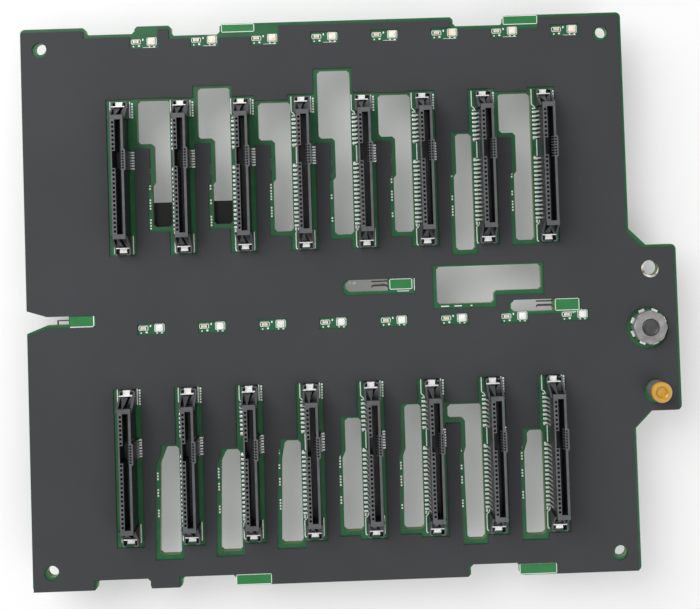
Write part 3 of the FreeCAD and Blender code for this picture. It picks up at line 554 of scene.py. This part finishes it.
@dataclass
class DriveSockets:
    """The sixteen drive sockets: housing, contact tails and board locks.

    A socket is modelled about its slot centre and contact centre; what is said of an end holds
    for both ends, the lower one mirrored.
    """

    left: float = -2.18
    right: float = 1.57
    top: float = 8.6
    lift: float = 0.4
    bevel: float = 0.06
    bulge: float = 2.07
    bulge_steps: tuple[float, ...] = (1.7, 2.1, 7.9, 8.3)
    slot_half: float = 0.875
    slot_end: float = 16.75
    slot_floor: float = 2.0
    key_left: float = -1.76
    key_ends: Point = (2.58, 7.58)
    wall_end: float = 17.5
    tower_start: float = 17.0
    tower_end: float = 20.65
    tower_left: float = -2.85
    tower_middle: float = -0.6
    head_end: float = 18.1
    box_start: float = 17.8
    box_corner: float = 0.35
    upper_end: float = 22.5
    lower_end: float = 23.05
    rim_top: float = 3.1
    rim_right: float = 1.95
    rim_wide: float = 0.45
    lip: float = 0.4
    door_half: float = 1.35
    door_deep: float = 0.6
    door_sill: float = 1.0
    notch_half: float = 1.6
    notch_sill: float = 1.2
    arm_wide: float = 0.6
    arm_ends: Point = (17.2, 20.85)
    arm_drop: float = 0.3
    web_start: float = 17.9
    web_drop: float = 0.15
    lock_floor: float = 0.5
    hole_x: float = -1.43
    hole_half: float = 0.33
    hole_floor: float = 3.0
    fine_hole_x: float = 1.37
    fine_hole_half: Point = (0.25, 0.23)
    tooth: float = 0.3
    tooth_reach: Point = (0.3, 1.0)
    tooth_low: float = 4.0
    tooth_slope: float = 1.3
    blade_low: float = 2.6

    def build(self) -> None:
        """Model one socket and copy it to every place."""
        patterns = (
            (self._housing(), "socket_housing", HOUSING, "drive_socket"),
            (self._blades(), "socket_blades", CAVITY, ""),
            (self._tails(), "socket_tails", SOLDER, "socket_contacts"),
        )
        for number, x, y in LAYOUT.sockets():
            for pattern, name, finish, stands_for in patterns:
                nodes = (f"{stands_for}_{number}",) if stands_for else ()
                Bench.finish(Bench.copy(pattern, (x, y, 0)), f"{name}_{number}", finish, nodes)
        lock = self._lock()
        for row in Row:
            locks = Bench.copy(lock, (LAYOUT.first_socket + self.tower_middle, row.value, 0))
            Bench.repeat(locks)
            name = row.name.lower()
            Bench.finish(locks, f"tinned_locks_{name}", LOCK, (f"board_locks_{name}_row",))
        for pattern in (lock, *(pattern for pattern, *_rest in patterns)):
            bpy.data.objects.remove(pattern)

    def _housing(self) -> Piece:
        """The moulded housing with its slot, contact holes, comb and ends.

        Returns:
            The housing.
        """
        low, full_low, full_high, high = self.bulge_steps
        body = Bench.prism([
            (self.left, -self.wall_end), (self.right, -self.wall_end), (self.right, low),
            (self.bulge, full_low), (self.bulge, full_high), (self.right, high),
            (self.right, self.wall_end), (self.left, self.wall_end),
        ], self.lift, self.top)
        for side in (-1, 1):
            Bench.combine(body, self._tower(side), Merge.ADD)
        half, (key_low, key_high) = self.slot_half, self.key_ends
        Bench.combine(body, Bench.prism([
            (half, -self.slot_end), (half, self.slot_end), (-half, self.slot_end),
            (-half, key_high), (self.key_left, key_high), (self.key_left, key_low),
            (-half, key_low), (-half, -self.slot_end),
        ], self.slot_floor, self.top + Bench.CLEAR), Merge.CUT)
        Bench.combine(body, self._hole_cutter(), Merge.CUT)
        Bench.combine(body, self._comb(), Merge.ADD)
        return Bench.soften(body, self.bevel)

    def _tower(self, side: int) -> Piece:
        """One end: the blunt head with the box for the lock, two arms and a sloping web.

        Args:
            side: 1 for the upper end and -1 for the lower one.

        Returns:
            The end, to be united with the housing.
        """
        tower = Bench.block(
            self.left, self.right, self.tower_start * side, self.head_end * side, 0, self.top)
        arms = (self.tower_left, self.rim_right - self.arm_wide)
        parts = [self._box(side), *(self._arm(near, side) for near in arms), self._web(side)]
        for part in parts:
            Bench.combine(tower, part, Merge.ADD)
        return tower

    def _box(self, side: int) -> Piece:
        """The low rimmed box for the lock, open outwards and notched towards the head.

        Args:
            side: 1 for the upper end and -1 for the lower one.

        Returns:
            The box.
        """
        outer = self.upper_end if side > 0 else self.lower_end
        left, right, corner = self.tower_left, self.rim_right, self.box_corner
        middle, sill = self.tower_middle, self.tower_end + 0.3
        box = Bench.prism([
            (left, self.box_start * side), (right, self.box_start * side),
            (right, (outer - corner) * side), (right - corner, outer * side),
            (left + corner, outer * side), (left, (outer - corner) * side),
        ], 0, self.rim_top)
        cutters = (
            Bench.block(
                left + self.rim_wide, right - self.rim_wide, (self.tower_end + 0.1) * side,
                (outer - self.lip) * side, self.lock_floor, self.top),
            Bench.block(
                middle - self.door_half, middle + self.door_half, (outer - self.door_deep) * side,
                (outer + Bench.CLEAR) * side, self.door_sill, self.top),
            Bench.prism([
                (middle - self.notch_half, sill * side), (middle, (self.head_end + 0.2) * side),
                (middle + self.notch_half, sill * side)], self.notch_sill, self.top),
        )
        for cutter in cutters:
            Bench.combine(box, cutter, Merge.CUT)
        return box

    def _arm(self, near: float, side: int) -> Piece:
        """A side wall of the box which slopes down from the head to the rim.

        Args:
            near: its left face.
            side: 1 for the upper end and -1 for the lower one.

        Returns:
            The arm.
        """
        start, end = self.arm_ends
        arm = Bench.block(
            near, near + self.arm_wide, start * side, end * side, self.door_sill,
            self.top - self.arm_drop)
        return Bench.lower(
            arm, lambda corner: corner.z > self.rim_top and abs(corner.y) > self.tower_end,
            self.rim_top - 0.1)

    def _web(self, side: int) -> Piece:
        """The three-cornered web which slopes from the head down to the lock.

        Args:
            side: 1 for the upper end and -1 for the lower one.

        Returns:
            The web.
        """
        middle = self.tower_middle - 0.25
        web = Bench.prism([
            (middle - 0.1, self.web_start * side), (middle + 0.1, self.web_start * side),
            (middle + 0.75, self.tower_end * side), (middle - 1.25, self.tower_end * side),
        ], self.door_sill, self.top - self.web_drop)
        return Bench.lower(
            web, lambda corner: corner.z > self.slot_floor and abs(corner.y) > self.head_end,
            self.rim_top - 0.7)

    def _hole_cutter(self) -> Piece:
        """Cutters of the coarse contact holes in the left wall and the fine ones in the bulge.

        Returns:
            All cutters as one object.
        """
        cutters = []
        wide, tall = self.fine_hole_half
        for x, half_x, half_y, heights in (
            (self.hole_x, self.hole_half, self.hole_half, LAYOUT.left_contacts()),
            (self.fine_hole_x, wide, tall, LAYOUT.fine_contacts()),
        ):
            high = self.top + Bench.CLEAR
            cutters += [
                Bench.bar(x - half_x, x + half_x, y, half_y, self.hole_floor, high)
                for y in heights]
        return Bench.join(cutters)

    def _comb(self) -> Piece:
        """Teeth between the fine contacts, which stand out into the slot and slope down.

        Returns:
            The teeth as one object.
        """
        teeth = []
        left, right = self.tooth_reach
        for y in [*LAYOUT.fine_contacts(), LAYOUT.fine_middle - LAYOUT.fine_pitch * 4]:
            low = y + 0.25
            tooth = Bench.block(left, right, low, low + self.tooth, self.tooth_low, self.top - 0.1)
            teeth.append(Bench.lower(
                tooth, lambda corner: corner.z > self.top / 2 and corner.x < self.slot_half / 2,
                self.top - self.tooth_slope))
        return Bench.join(teeth)

    def _blades(self) -> Piece:
        """Contact blades low in the holes of both walls.

        Returns:
            The blades as one object.
        """
        blades = []
        for left, right, wide, narrow, top, heights in (
            (-1.7, -1.3, 0.24, 0.2, 4.6, LAYOUT.left_contacts()),
            (1.2, 1.5, 0.14, 0.12, 4.4, LAYOUT.fine_contacts()),
        ):
            blades += [Bench.prism([
                (left, y - wide), (right, y - narrow), (right, y + narrow), (left, y + wide),
            ], self.blade_low, top) for y in heights]
        return Bench.soften(Bench.join(blades), 0.05)

    def _tails(self) -> Piece:
        """Soldered tails on both sides: rounded pads, and leads that climb the housing's side.

        Returns:
            The tails as one object.
        """
        pads, leads = [], []
        for y in LAYOUT.left_contacts():
            pads.append(Bench.bar(-3.8, -2.5, y, 0.36, 0, 0.34))
            leads.append(Bench.lower(
                Bench.bar(-2.75, -2.2, y, 0.27, 0.1, 3.6),
                lambda corner: corner.z > 1 and corner.x < -2.5, 0.45))
        for y in LAYOUT.fine_contacts():
            pads.append(Bench.bar(2.0, 3.4, y, 0.26, 0, 0.3))
            leads.append(Bench.bar(2.09, 2.3, y, 0.15, 0.1, 1.8))
        rounded = Bench.soften(Bench.join(pads), 0.15, 2)
        return Bench.join([rounded, Bench.soften(Bench.join(leads), 0.04)])

    def _lock(self) -> Piece:
        """The pair of board locks of one socket: an upright cross plate with a low foot behind it.

        Returns:
            Both locks as one object, about the middle of the ends.
        """
        parts = []
        for side in (-1, 1):
            shift = (-0.15 * side, 0, 0)
            plate = Bench.block(-1.98, 1.98, 20.8 * side, 21.12 * side, 1.4, 3.35)
            foot = Bench.prism([
                (-1.05, 21.0 * side), (1.05, 21.0 * side), (1.05, 21.9 * side),
                (1.2, 22.4 * side), (-1.2, 22.4 * side), (-1.05, 21.9 * side),
            ], self.lock_floor, 2.1)
            parts += [Bench.moved(plate, shift), Bench.moved(foot, shift)]
        return Bench.soften(Bench.join(parts), 0.08, 2)


@dataclass
class StatusLights:
    """Pairs of chips beside the sockets: a small tan one and a larger pale one."""

    small_x: float = 4.45
    large_x: float = 9.2
    small_half: Point = (0.6, 0.42)
    lens_half: float = 0.95
    chip_low: float = 0.05
    line: float = 0.22
    dome: tuple[Point, ...] = ((0, 0.45), (0.72, 0.45), (0.66, 0.62), (0, 0.7))

    def build(self) -> None:
        """Model one pair and repeat it along both rows."""
        gap = self.large_x - self.small_x
        wide, tall = self.small_half
        for row in LightRow:
            small = Bench.bar(-wide, wide, 0, tall, self.chip_low, 0.45)
            self._line(small, self.small_x, row, "small_lights", TAN, "small_leds")
            ends = [Bench.bar(side * 0.45, side * 0.85, 0, tall, 0, 0.48) for side in (-1, 1)]
            ends += [
                Bench.bar(gap + side * 0.8, gap + side * 1.15, 0, 0.8, 0, 0.35) for side in (-1, 1)]
            self._line(Bench.join(ends), self.small_x, row, "light_terminals", SOLDER)
            lens = Bench.bar(-self.lens_half, self.lens_half, 0, self.lens_half, self.chip_low, 0.5)
            domed = Bench.join([lens, Bench.turned(self.dome, 20)])
            glass = CREAM if row is LightRow.UPPER else WHITE_LENS
            self._line(domed, self.large_x, row, "large_lights", glass, "large_leds")
            self._line(self._frames(gap, row), self.small_x, row, "light_frames", INK)

    def _frames(self, gap: float, row: LightRow) -> Piece:
        """White lines round both chips and small marks by them.

        Args:
            gap: from the small chip to the large one, in mm.
            row: the row that they belong to.

        Returns:
            The lines as one object.
        """
        lines = Print.frame(-1.45, 1.45, -0.72, 0.72, self.line)
        lines += Print.frame(gap - 1.5, gap + 1.5, -1.2, 1.2, self.line)
        marks = [
            (-0.9, -0.5, -1.6, -1.2), (0.6, 1.2, -1.5, -1.0), (1.9, 2.3, 0.3, 0.9),
            (gap - 0.9, gap - 0.5, -1.7, -1.35), (gap + 0.4, gap + 1.0, -1.7, -1.4),
        ]
        if row is LightRow.UPPER:
            marks.append((2.0, gap + 1.2, -1.86, -1.7))
        return Bench.join(lines + [Bench.block(*mark, 0, Print.thick) for mark in marks])

    def _line(
        self, piece: Piece, x: float, row: LightRow, name: str, finish: Finish, node_name: str = "",
    ) -> None:
        """Soften a piece, repeat it beside each socket and dress it.

        Args:
            piece: the pattern, about its own middle.
            x: its place from a slot centre, in mm.
            row: the row that it belongs to.
            name: name of the whole line, without its row.
            finish: what it looks like.
            node_name: the CAD node that it stands for, without its row.
        """
        line = row.name.lower()
        Bench.moved(Bench.soften(piece, 0.04), (LAYOUT.first_socket + x, row.value, 0))
        Bench.repeat(piece)
        nodes = (f"{node_name}_{line}_row",) if node_name else ()
        Bench.finish(piece, f"{name}_{line}", finish, nodes)


@dataclass
class EarParts:
    """Plunger, guide post and plated hole on the side ear; profiles are radius and height."""

    plunger: Point = (94.95, -11.2)
    post: Point = (96.8, -30.1)
    hole: Point = (96.4, 6.3)
    ring: tuple[Point, ...] = ((2.2, 0), (2.85, 0), (2.85, 0.1), (2.75, 0.12), (2.2, 0.12))
    sides: int = 8
    collar_corner: float = 5.1
    collar_flat: float = 4.0
    collar_top: float = 3.1
    foot_reach: float = 5.6
    foot_top: float = 0.8
    barrel: tuple[Point, ...] = ((0, -7.5), (3.8, -7.5), (3.8, 0.6), (0, 0.6))
    bore: tuple[Point, ...] = (
        (0, 4), (2.53, 4), (2.53, -1.5), (3.1, -1.5), (3.1, -6.9), (1.5, -6.9), (1.5, -10),
        (0, -10))
    pin: tuple[Point, ...] = (
        (0, 3.3), (1.7, 3.35), (2.15, 3.6), (2.45, 3.35), (2.45, -1.5), (2.75, -1.5),
        (2.75, -2.3), (1.2, -2.3), (1.2, -8.0), (0, -8.0))
    knob_radius: Point = (4.5, 4.2)
    knob_ends: Point = (-11.2, -8.0)
    wire_radius: float = 0.2
    coil_radius: float = 2.15
    coil_start: float = -6.68
    coil_rise: float = 4.1
    coil_turns: int = 5
    coil_seat: float = -6.9
    post_profile: tuple[Point, ...] = (
        (0, 4.3), (3.0, 4.3), (3.05, 4.1), (3.05, 0), (1.6, 0), (1.6, -2.4), (3.2, -2.4),
        (2.9, -3.2), (0, -3.2))
    cap: tuple[Point, ...] = (
        (0, 4.3), (3.05, 4.3), (3.05, 5.2), (2.8, 5.5), (1.9, 5.5), (1.5, 5.2), (1.3, 4.85),
        (0, 4.75))

    def build(self) -> None:
        """Model the parts of the ear."""
        self._collar()
        self._feet()
        self._pin()
        self._spring()
        for profile, steps, place, name, finish, nodes in (
            (self.post_profile, 40, self.post, "post_body", POST, ("guide_post",)),
            (self.cap, 48, self.post, "amber_cap", AMBER, ("guide_post_cap",)),
            (self.ring, 40, self.hole, "plated_ring", COPPER, ()),
        ):
            piece = Bench.moved(Bench.turned(profile, steps), (*place, 0))
            Bench.finish(piece, name, finish, nodes)

    def _around(self, radius: float, turn: float) -> Point:
        """A point about the axis by its radius and its turn in degrees."""
        return radius * math.cos(math.radians(turn)), radius * math.sin(math.radians(turn))

    def _collar(self) -> None:
        """Eight-sided collar with its bore, and the barrel behind it."""
        outline = [
            self._around(self.collar_corner, number * 360 / self.sides + turn)
            for number in range(self.sides) for turn in (-4, 4)]
        collar = Bench.soften(Bench.prism(outline, 0, self.collar_top), 0.28, 2)
        Bench.combine(collar, Bench.turned(self.barrel), Merge.ADD)
        Bench.combine(collar, Bench.turned(self.bore), Merge.CUT)
        Bench.moved(Bench.soften(collar, 0.07), (*self.plunger, 0))
        Bench.finish(collar, "plunger_collar", PLATED, ("plunger_housing",))

    def _feet(self) -> None:
        """Small tinned feet round the collar, one at each of its flats."""
        feet = []
        for number in range(self.sides):
            middle = (number + 0.5) * 360 / self.sides
            corners = (
                (self.collar_flat, -13), (self.foot_reach, -9.5), (self.foot_reach, 9.5),
                (self.collar_flat, 13))
            outline = [self._around(radius, middle + turn) for radius, turn in corners]
            feet.append(Bench.prism(outline, 0, self.foot_top))
        tinned = Bench.soften(Bench.join(feet), 0.12, 2)
        Bench.finish(Bench.moved(tinned, (*self.plunger, 0)), "collar_feet", SOLDER)

    def _pin(self) -> None:
        """Pin with flange and stem, and the ribbed pull knob."""
        pin = Bench.moved(Bench.turned(self.pin), (*self.plunger, 0))
        Bench.finish(pin, "locating_pin", PIN, ("plunger_pin",), PLUNGER)
        rib, groove = self.knob_radius
        outline = [self._around(rib if step % 4 < 2 else groove, step * 7.5) for step in range(48)]
        knob = Bench.soften(Bench.prism(outline, *self.knob_ends), 0.2, 2)
        Bench.moved(knob, (*self.plunger, 0))
        Bench.finish(knob, "pull_knob", HOUSING, ("plunger_knob",), PLUNGER)

    def _spring(self) -> None:
        """Coil spring, squashed between the pin's flange and the end wall of the barrel."""
        Bench.clear()
        bpy.ops.mesh.primitive_circle_add(
            vertices=8, fill_type="NOTHING", radius=self.wire_radius * MM)
        wire = bpy.context.object
        for vertex in wire.data.vertices:
            across, along = vertex.co.x, vertex.co.y
            vertex.co = Vector((self.coil_radius * MM + across, 0, self.coil_start * MM + along))
        Bench.modify(
            wire, "SCREW", angle=math.tau, screw_offset=self.coil_rise / self.coil_turns * MM,
            iterations=self.coil_turns, steps=24, render_steps=24, axis="Z",
            use_merge_vertices=True)
        bpy.ops.object.mode_set(mode="EDIT")
        bpy.ops.mesh.select_all(action="SELECT")
        bpy.ops.mesh.fill_holes(sides=0)
        Bench.close_outward()
        Bench.moved(wire, (*self.plunger, 0))
        Bench.finish(wire, "coil_spring", WIRE, ("plunger_spring",))
        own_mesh(wire)


@dataclass
class Print:
    """White lines and bare pads on the front of the board; lettering is left out."""

    thick: ClassVar[float] = 0.05
    line_rise: ClassVar[float] = 0.03
    line: float = 0.28
    pad_line: float = 0.2
    opening_x: float = 7.3
    framed_pads: tuple = (
        (-30.2, -19.7, -83.4, -80.3), (53.9, 65.0, -83.3, -80.1), (-30.0, -20.1, 80.9, 83.4),
        (54.7, 65.1, 80.7, 83.4), (18.0, 24.8, 2.3, 5.5), (67.3, 74.6, -5.6, -2.0))
    corner_pad: tuple = (-77.4, -70.2, -5.5, -2.6)
    corner_line: float = 0.3
    doubled: tuple = ((24.8, 2.3), (74.6, -5.6))
    socket_runs: tuple = (
        ((-3.8, 22.8), (-3.8, 18.2), (-3.1, 17.6), (-2.75, 16.8)),
        ((2.1, 22.6), (2.1, 17.8)),
        ((-2.65, 7.6), (-2.65, 2.6)),
        ((-2.65, -16.6), (-2.75, -17.4), (-3.5, -18.0), (-3.5, -22.6), (-3.1, -23.0)),
        ((2.15, -17.4), (2.15, -22.8), (0.9, -22.8)))
    left_marks: tuple = (16.75, 7.65, 2.2, -16.9, -17.4)
    clusters: tuple = (1.5, -3.5, -8.5, -14.5)
    middle_marks: tuple = ((33.2, 2.4), (37.2, 2.2), (42.0, 0.6))

    def build(self) -> None:
        """Lay the pads and lines."""
        pads = [Bench.block(*pad, 0, self.thick) for pad in (*self.framed_pads, self.corner_pad)]
        lines = [line for pad in self.framed_pads for line in self.frame(*pad, self.pad_line)]
        left, right, bottom, top = self.corner_pad
        high, wide = self.thick + self.line_rise, self.corner_line
        lines.append(Bench.block(right - wide, right, bottom - 0.4, top, 0, high))
        lines.append(Bench.block(left, right, bottom - 0.4, bottom - 0.4 + wide, 0, high))
        for right, bottom in self.doubled:
            lines.append(Bench.block(
                right + 0.5, right + 0.72, bottom - 0.4, bottom + 3.2, 0, self.thick))
            lines.append(Bench.block(
                right - 4.5, right - 1.0, bottom - 0.62, bottom - 0.4, 0, self.thick))
        Bench.finish(Bench.join(pads), "bare_pads", BARE)
        Bench.finish(Bench.join(lines + self._socket_lines() + self._ticks()), "white_lines", INK)

    @classmethod
    def frame(
        cls, left: float, right: float, bottom: float, top: float, wide: float,
    ) -> list[Piece]:
        """Four lines round a rectangle.

        Args:
            left: its left side, in mm.
            right: its right side.
            bottom: its lower side.
            top: its upper side.
            wide: width of the lines.

        Returns:
            The lines.
        """
        high = cls.thick + cls.line_rise
        return [
            Bench.block(left, right, bottom, bottom + wide, 0, high),
            Bench.block(left, right, top - wide, top, 0, high),
            Bench.block(left, left + wide, bottom, top, 0, high),
            Bench.block(right - wide, right, bottom, top, 0, high),
        ]

    def _stroke(self, start: Vector, end: Vector) -> Piece:
        """One line of the socket outlines.

        Args:
            start: where it starts, in mm.
            end: where it ends.

        Returns:
            The line.
        """
        run = end - start
        across = Vector((-run.y, run.x)).normalized() * self.line / 2
        corners = [start + across, start - across, end - across, end + across]
        return Bench.prism([(corner.x, corner.y) for corner in corners], 0, self.thick)

    def _socket_lines(self) -> list[Piece]:
        """The printed outline round each socket, as far as its tails leave room."""
        return [
            self._stroke(Vector((x, y)) + Vector(start), Vector((x, y)) + Vector(end))
            for _number, x, y in LAYOUT.sockets()
            for run in self.socket_runs
            for start, end in zip(run, run[1:])]

    def _ticks(self) -> list[Piece]:
        """Plain marks where the small lettering stands in the photograph.

        Returns:
            The marks.
        """
        marks = []
        spread = random.Random(7)
        for _number, x, y in LAYOUT.sockets():
            marks += [self._mark(x - 3.7, y + low, 0.55, 0.42) for low in self.left_marks]
            marks += [self._mark(x + 2.55, y + 17.7 + step * 0.8, 0.5, 0.55) for step in range(6)]
            for cluster in self.clusters:
                base = y + cluster + spread.uniform(-1.5, 1.5)
                for step in range(spread.choice((2, 3, 4))):
                    marks.append(self._mark(x + self.opening_x, base + step * 0.85, 0.45, 0.5))
        return marks + [self._mark(x, -3.35, wide, 0.3) for x, wide in self.middle_marks]

    def _mark(self, x: float, y: float, wide: float, tall: float) -> Piece:
        """One small filled mark."""
        return Bench.block(x, x + wide, y, y + tall, 0, self.thick)


@dataclass
class RearParts:
    """Parts of the rear face and of the hook slots; rear heights are measured down from it."""

    board_rear: float = -2.4
    height: float = 12.0
    sockets: tuple = (
        (-74.0, -27.5, False), (-2.0, -27.5, False), (62.0, -27.5, False), (74.5, 36.0, True))
    long: float = 20.0
    wide: float = 10.0
    wall: float = 1.2
    recess: float = 2.2
    window_half: float = 1.5
    tongue_end: float = 3.0
    tongue_half: float = 0.7
    tongue_deep: float = 9.2
    contacts: int = 16
    contact_first: float = 3.8
    contact_pitch: float = 0.8
    wire_ends: Point = (-1.7, -1.1)
    point_y: float = 21.6
    point: tuple[Point, ...] = ((0, -2.4), (0.75, -2.4), (0.5, -2.75), (0, -2.9))
    chip_rows: Corner = (11.0, 4.0, -20.0)

    def build(self) -> None:
        """Model the rear parts."""
        for number, (left, bottom, upright) in enumerate(self.sockets, 1):
            self._cable_socket(number, (left, bottom, 0), upright)
        self._solder_points()
        self._small_chips()
        self._hook_wires()

    def _hook_wires(self) -> None:
        """Dark wires in the hook slots: one bent down in the first, two in each of the others."""
        wires = [
            Bench.block(-81.3, -77.7, -3.95, -3.6, *self.wire_ends),
            Bench.block(-81.5, -81.1, -4.95, -3.6, *self.wire_ends)]
        for right, top in ((17.5, 5.5), (66.8, -2.0)):
            left = right - 4.9
            wires.append(Bench.block(left, right, top - 0.9, top - 0.5, *self.wire_ends))
            wires.append(Bench.prism([
                (left, top - 2.6), (left + 0.5, top - 2.2), (right - 0.5, top - 2.2),
                (right, top - 2.6), (right, top - 1.9), (right - 0.5, top - 1.6),
                (left + 0.5, top - 1.6), (left, top - 1.9),
            ], *self.wire_ends))
        joined = Bench.soften(Bench.join(wires), 0.12, 2)
        Bench.finish(joined, "hook_wires", WIRE, ("hook_slot_springs",))

    def _cable_socket(self, number: int, place: Corner, upright: bool) -> None:
        """One shrouded cable socket: shell with latch windows, and a tongue with contacts.

        Args:
            number: its number, from 1.
            place: its lower left corner on the board, in mm.
            upright: whether its long side stands upright.
        """
        for piece, name, finish, nodes in (
            (self._cable_shell(), "cable_shell", HOUSING, (f"cable_socket_{number}",)),
            (self._cable_tongue(), "cable_blade", CHIP, (f"cable_tongue_{number}",)),
            (self._cable_contacts(), "cable_contacts", CAVITY, ()),
        ):
            if upright:
                swap = Matrix(((0, 1, 0, 0), (1, 0, 0, 0), (0, 0, 1, 0), (0, 0, 0, 1)))
                piece.data.transform(swap)
                piece.data.flip_normals()
            Bench.moved(piece, place)
            Bench.finish(piece, f"{name}_{number}", finish, nodes)

    def _cable_shell(self) -> Piece:
        """The rounded shell of a cable socket with two latch windows in one long side.

        Returns:
            The shell.
        """
        rear, end = self.board_rear, self.board_rear - self.height
        shell = Bench.soften(Bench.block(0, self.long, 0, self.wide, end, rear), 0.5, 2)
        Bench.combine(shell, Bench.block(
            self.wall, self.long - self.wall, self.wall, self.wide - self.wall,
            end - Bench.CLEAR, rear - self.recess), Merge.CUT)
        for x in (self.long * 0.25, self.long * 0.75):
            Bench.combine(shell, Bench.block(
                x - self.window_half, x + self.window_half, -Bench.CLEAR, self.wall + 0.5,
                end + 2, end + 5), Merge.CUT)
        return shell

    def _cable_tongue(self) -> Piece:
        """The tongue of a cable socket."""
        return Bench.soften(Bench.bar(
            self.tongue_end, self.long - self.tongue_end, self.wide / 2, self.tongue_half,
            self.board_rear - self.tongue_deep, self.board_rear - self.recess), 0.2)

    def _cable_contacts(self) -> Piece:
        """Contact strips round the tongue of a cable socket.

        Returns:
            The strips as one object.
        """
        places = [self.contact_first + step * self.contact_pitch for step in range(self.contacts)]
        rear, half = self.board_rear, self.tongue_half + 0.08
        return Bench.join([
            Bench.bar(x - 0.2, x + 0.2, self.wide / 2, half, rear - 8.6, rear - 2.3)
            for x in places])

    def _solder_points(self) -> None:
        """Domed solder points of the board locks."""
        dome = Bench.turned(self.point, 12)
        points = [
            Bench.copy(dome, (x - 0.6, y + self.point_y * side, 0))
            for _number, x, y in LAYOUT.sockets() for side in (-1, 1)]
        bpy.data.objects.remove(dome)
        Bench.finish(Bench.join(points), "solder_points", SOLDER)

    def _small_chips(self) -> None:
        """Rows of small chips between the rows of sockets, clear of the other rear parts."""
        bodies, ends = [], []
        spread = random.Random(11)
        rear = self.board_rear
        for row_y in self.chip_rows:
            for step in range(14):
                x = -70.0 + step * 9.5 + spread.uniform(-1, 1)
                taken = -34.0 < x < -14.0 or x > 29.0
                if taken or row_y == self.chip_rows[-1] and (x < -52 or -5 < x < 20):
                    continue
                y = row_y + spread.uniform(-0.8, 0.8)
                bodies.append(Bench.bar(x - 0.55, x + 0.55, y, 0.4, rear - 0.5, rear))
                ends += [
                    Bench.bar(x + side * 0.5, x + side * 0.85, y, 0.42, rear - 0.52, rear)
                    for side in (-1, 1)]
        Bench.finish(Bench.join(bodies), "small_chips", TAN)
        Bench.finish(Bench.join(ends), "chip_ends", SOLDER)


@dataclass
class Studio:
    """Floor, lamps and the camera at the photograph's viewing angle."""

    floor: float = -0.0144
    floor_size: float = 3.0
    floor_lift: float = 0.2
    lamps: tuple = (
        ("key_lamp", (-0.38, 0.36, 0.5), 0.6, 4.2), ("fill_lamp", (0.45, -0.55, 0.7), 0.9, 3.2))
    sky: float = 0.5
    focal_pixels: float = 1046.0
    width: int = 700
    height: int = 609
    sensor: float = 36.0
    centre_y: float = 184.3
    eye: Corner = (3.21, 25.84, 313.09)
    pitch_deg: float = -1.52
    yaw_deg: float = 0.724
    roll_deg: float = 1.822

    def build(self) -> None:
        """Make the scene round the object."""
        Bench.clear()
        bpy.ops.mesh.primitive_plane_add(size=self.floor_size, location=(0, 0, self.floor))
        floor = bpy.context.object
        floor.name = "floor"
        floor.data.materials.append(self._floor_material())
        for lamp in self.lamps:
            self._lamp(*lamp)
        world = bpy.data.worlds.new("studio")
        bpy.context.scene.world = world
        world.use_nodes = True
        background = world.node_tree.nodes["Background"]
        background.inputs["Color"].default_value = (1, 1, 1, 1)
        background.inputs["Strength"].default_value = self.sky
        bpy.context.scene.view_settings.view_transform = "Standard"
        self._camera()

    def _floor_material(self) -> bpy.types.Material:
        """Pale floor, lifted towards white for the camera alone; it keeps the object's shadow.

        Returns:
            The material.
        """
        pale = Finish(
            "pale_floor", (0.9, 0.9, 0.9), (0.92, 0.92, 0.92), roughness=0.7, mottle=8.0, bump=0.0,
            contrast=1.0)
        made = pale.material()
        tree = made.node_tree
        seen = node(tree, "ShaderNodeLightPath", {}, {}, "Is Camera Ray")
        glow = node(tree, "ShaderNodeEmission", {}, {"Color": (1.0, 1.0, 1.0), "Strength": 1.0})
        plain = Shade(tree, tree.nodes["Principled BSDF"].outputs[0])
        both = node(
            tree, "ShaderNodeMixShader", {}, {0: seen * self.floor_lift, 1: plain, 2: glow})
        tree.links.new(both.socket, tree.nodes["Material Output"].inputs["Surface"])
        return made

    def _lamp(self, name: str, place: Corner, side: float, power: float) -> None:
        """A square soft lamp aimed at the board.

        Args:
            name: its name.
            place: where it hangs, in metres.
            side: length of its side, in metres.
            power: its power in watts.
        """
        lamp = bpy.data.lights.new(name, "AREA")
        lamp.size = side
        lamp.energy = power
        holder = bpy.data.objects.new(name, lamp)
        holder.location = place
        holder.rotation_euler = (-Vector(place)).to_track_quat("-Z", "Y").to_euler()
        bpy.context.collection.objects.link(holder)

    def _camera(self) -> None:
        """The camera, solved from the contacts and corner holes in the photograph."""
        lens = bpy.data.cameras.new("camera")
        lens.sensor_width = self.sensor
        lens.lens = self.focal_pixels / self.width * lens.sensor_width
        lens.shift_y = (self.centre_y - self.height / 2) / self.width
        lens.clip_start = 0.01
        turn = (
            Matrix.Rotation(math.radians(self.roll_deg), 4, "Z")
            @ Matrix.Rotation(math.radians(self.yaw_deg), 4, "Y")
            @ Matrix.Rotation(math.radians(self.pitch_deg), 4, "X"))
        holder = bpy.data.objects.new("camera", lens)
        holder.matrix_world = Matrix.Translation(Vector(self.eye) * MM) @ turn.transposed()
        bpy.context.collection.objects.link(holder)
        bpy.context.scene.camera = holder


def dress_nodes() -> None:
    """Give the kept CAD nodes their finishes."""
    finishes = {
        "circuit_board": BOARD, "insulator_sheet": FILM,
        "power_header": CHIP, "power_header_pins": CAVITY, "controller_chip": CHIP,
    }
    for name, finish in finishes.items():
        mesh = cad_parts[name].data
        mesh.materials.clear()
        mesh.materials.append(finish.material())


def main() -> None:
    """Build every part in order."""
    logging.basicConfig(level=logging.INFO, format="%(message)s")
    dress_nodes()
    for part in (DriveSockets(), StatusLights(), EarParts(), Print(), RearParts(), Studio()):
        part.build()


if __name__ == "__main__":
    main()
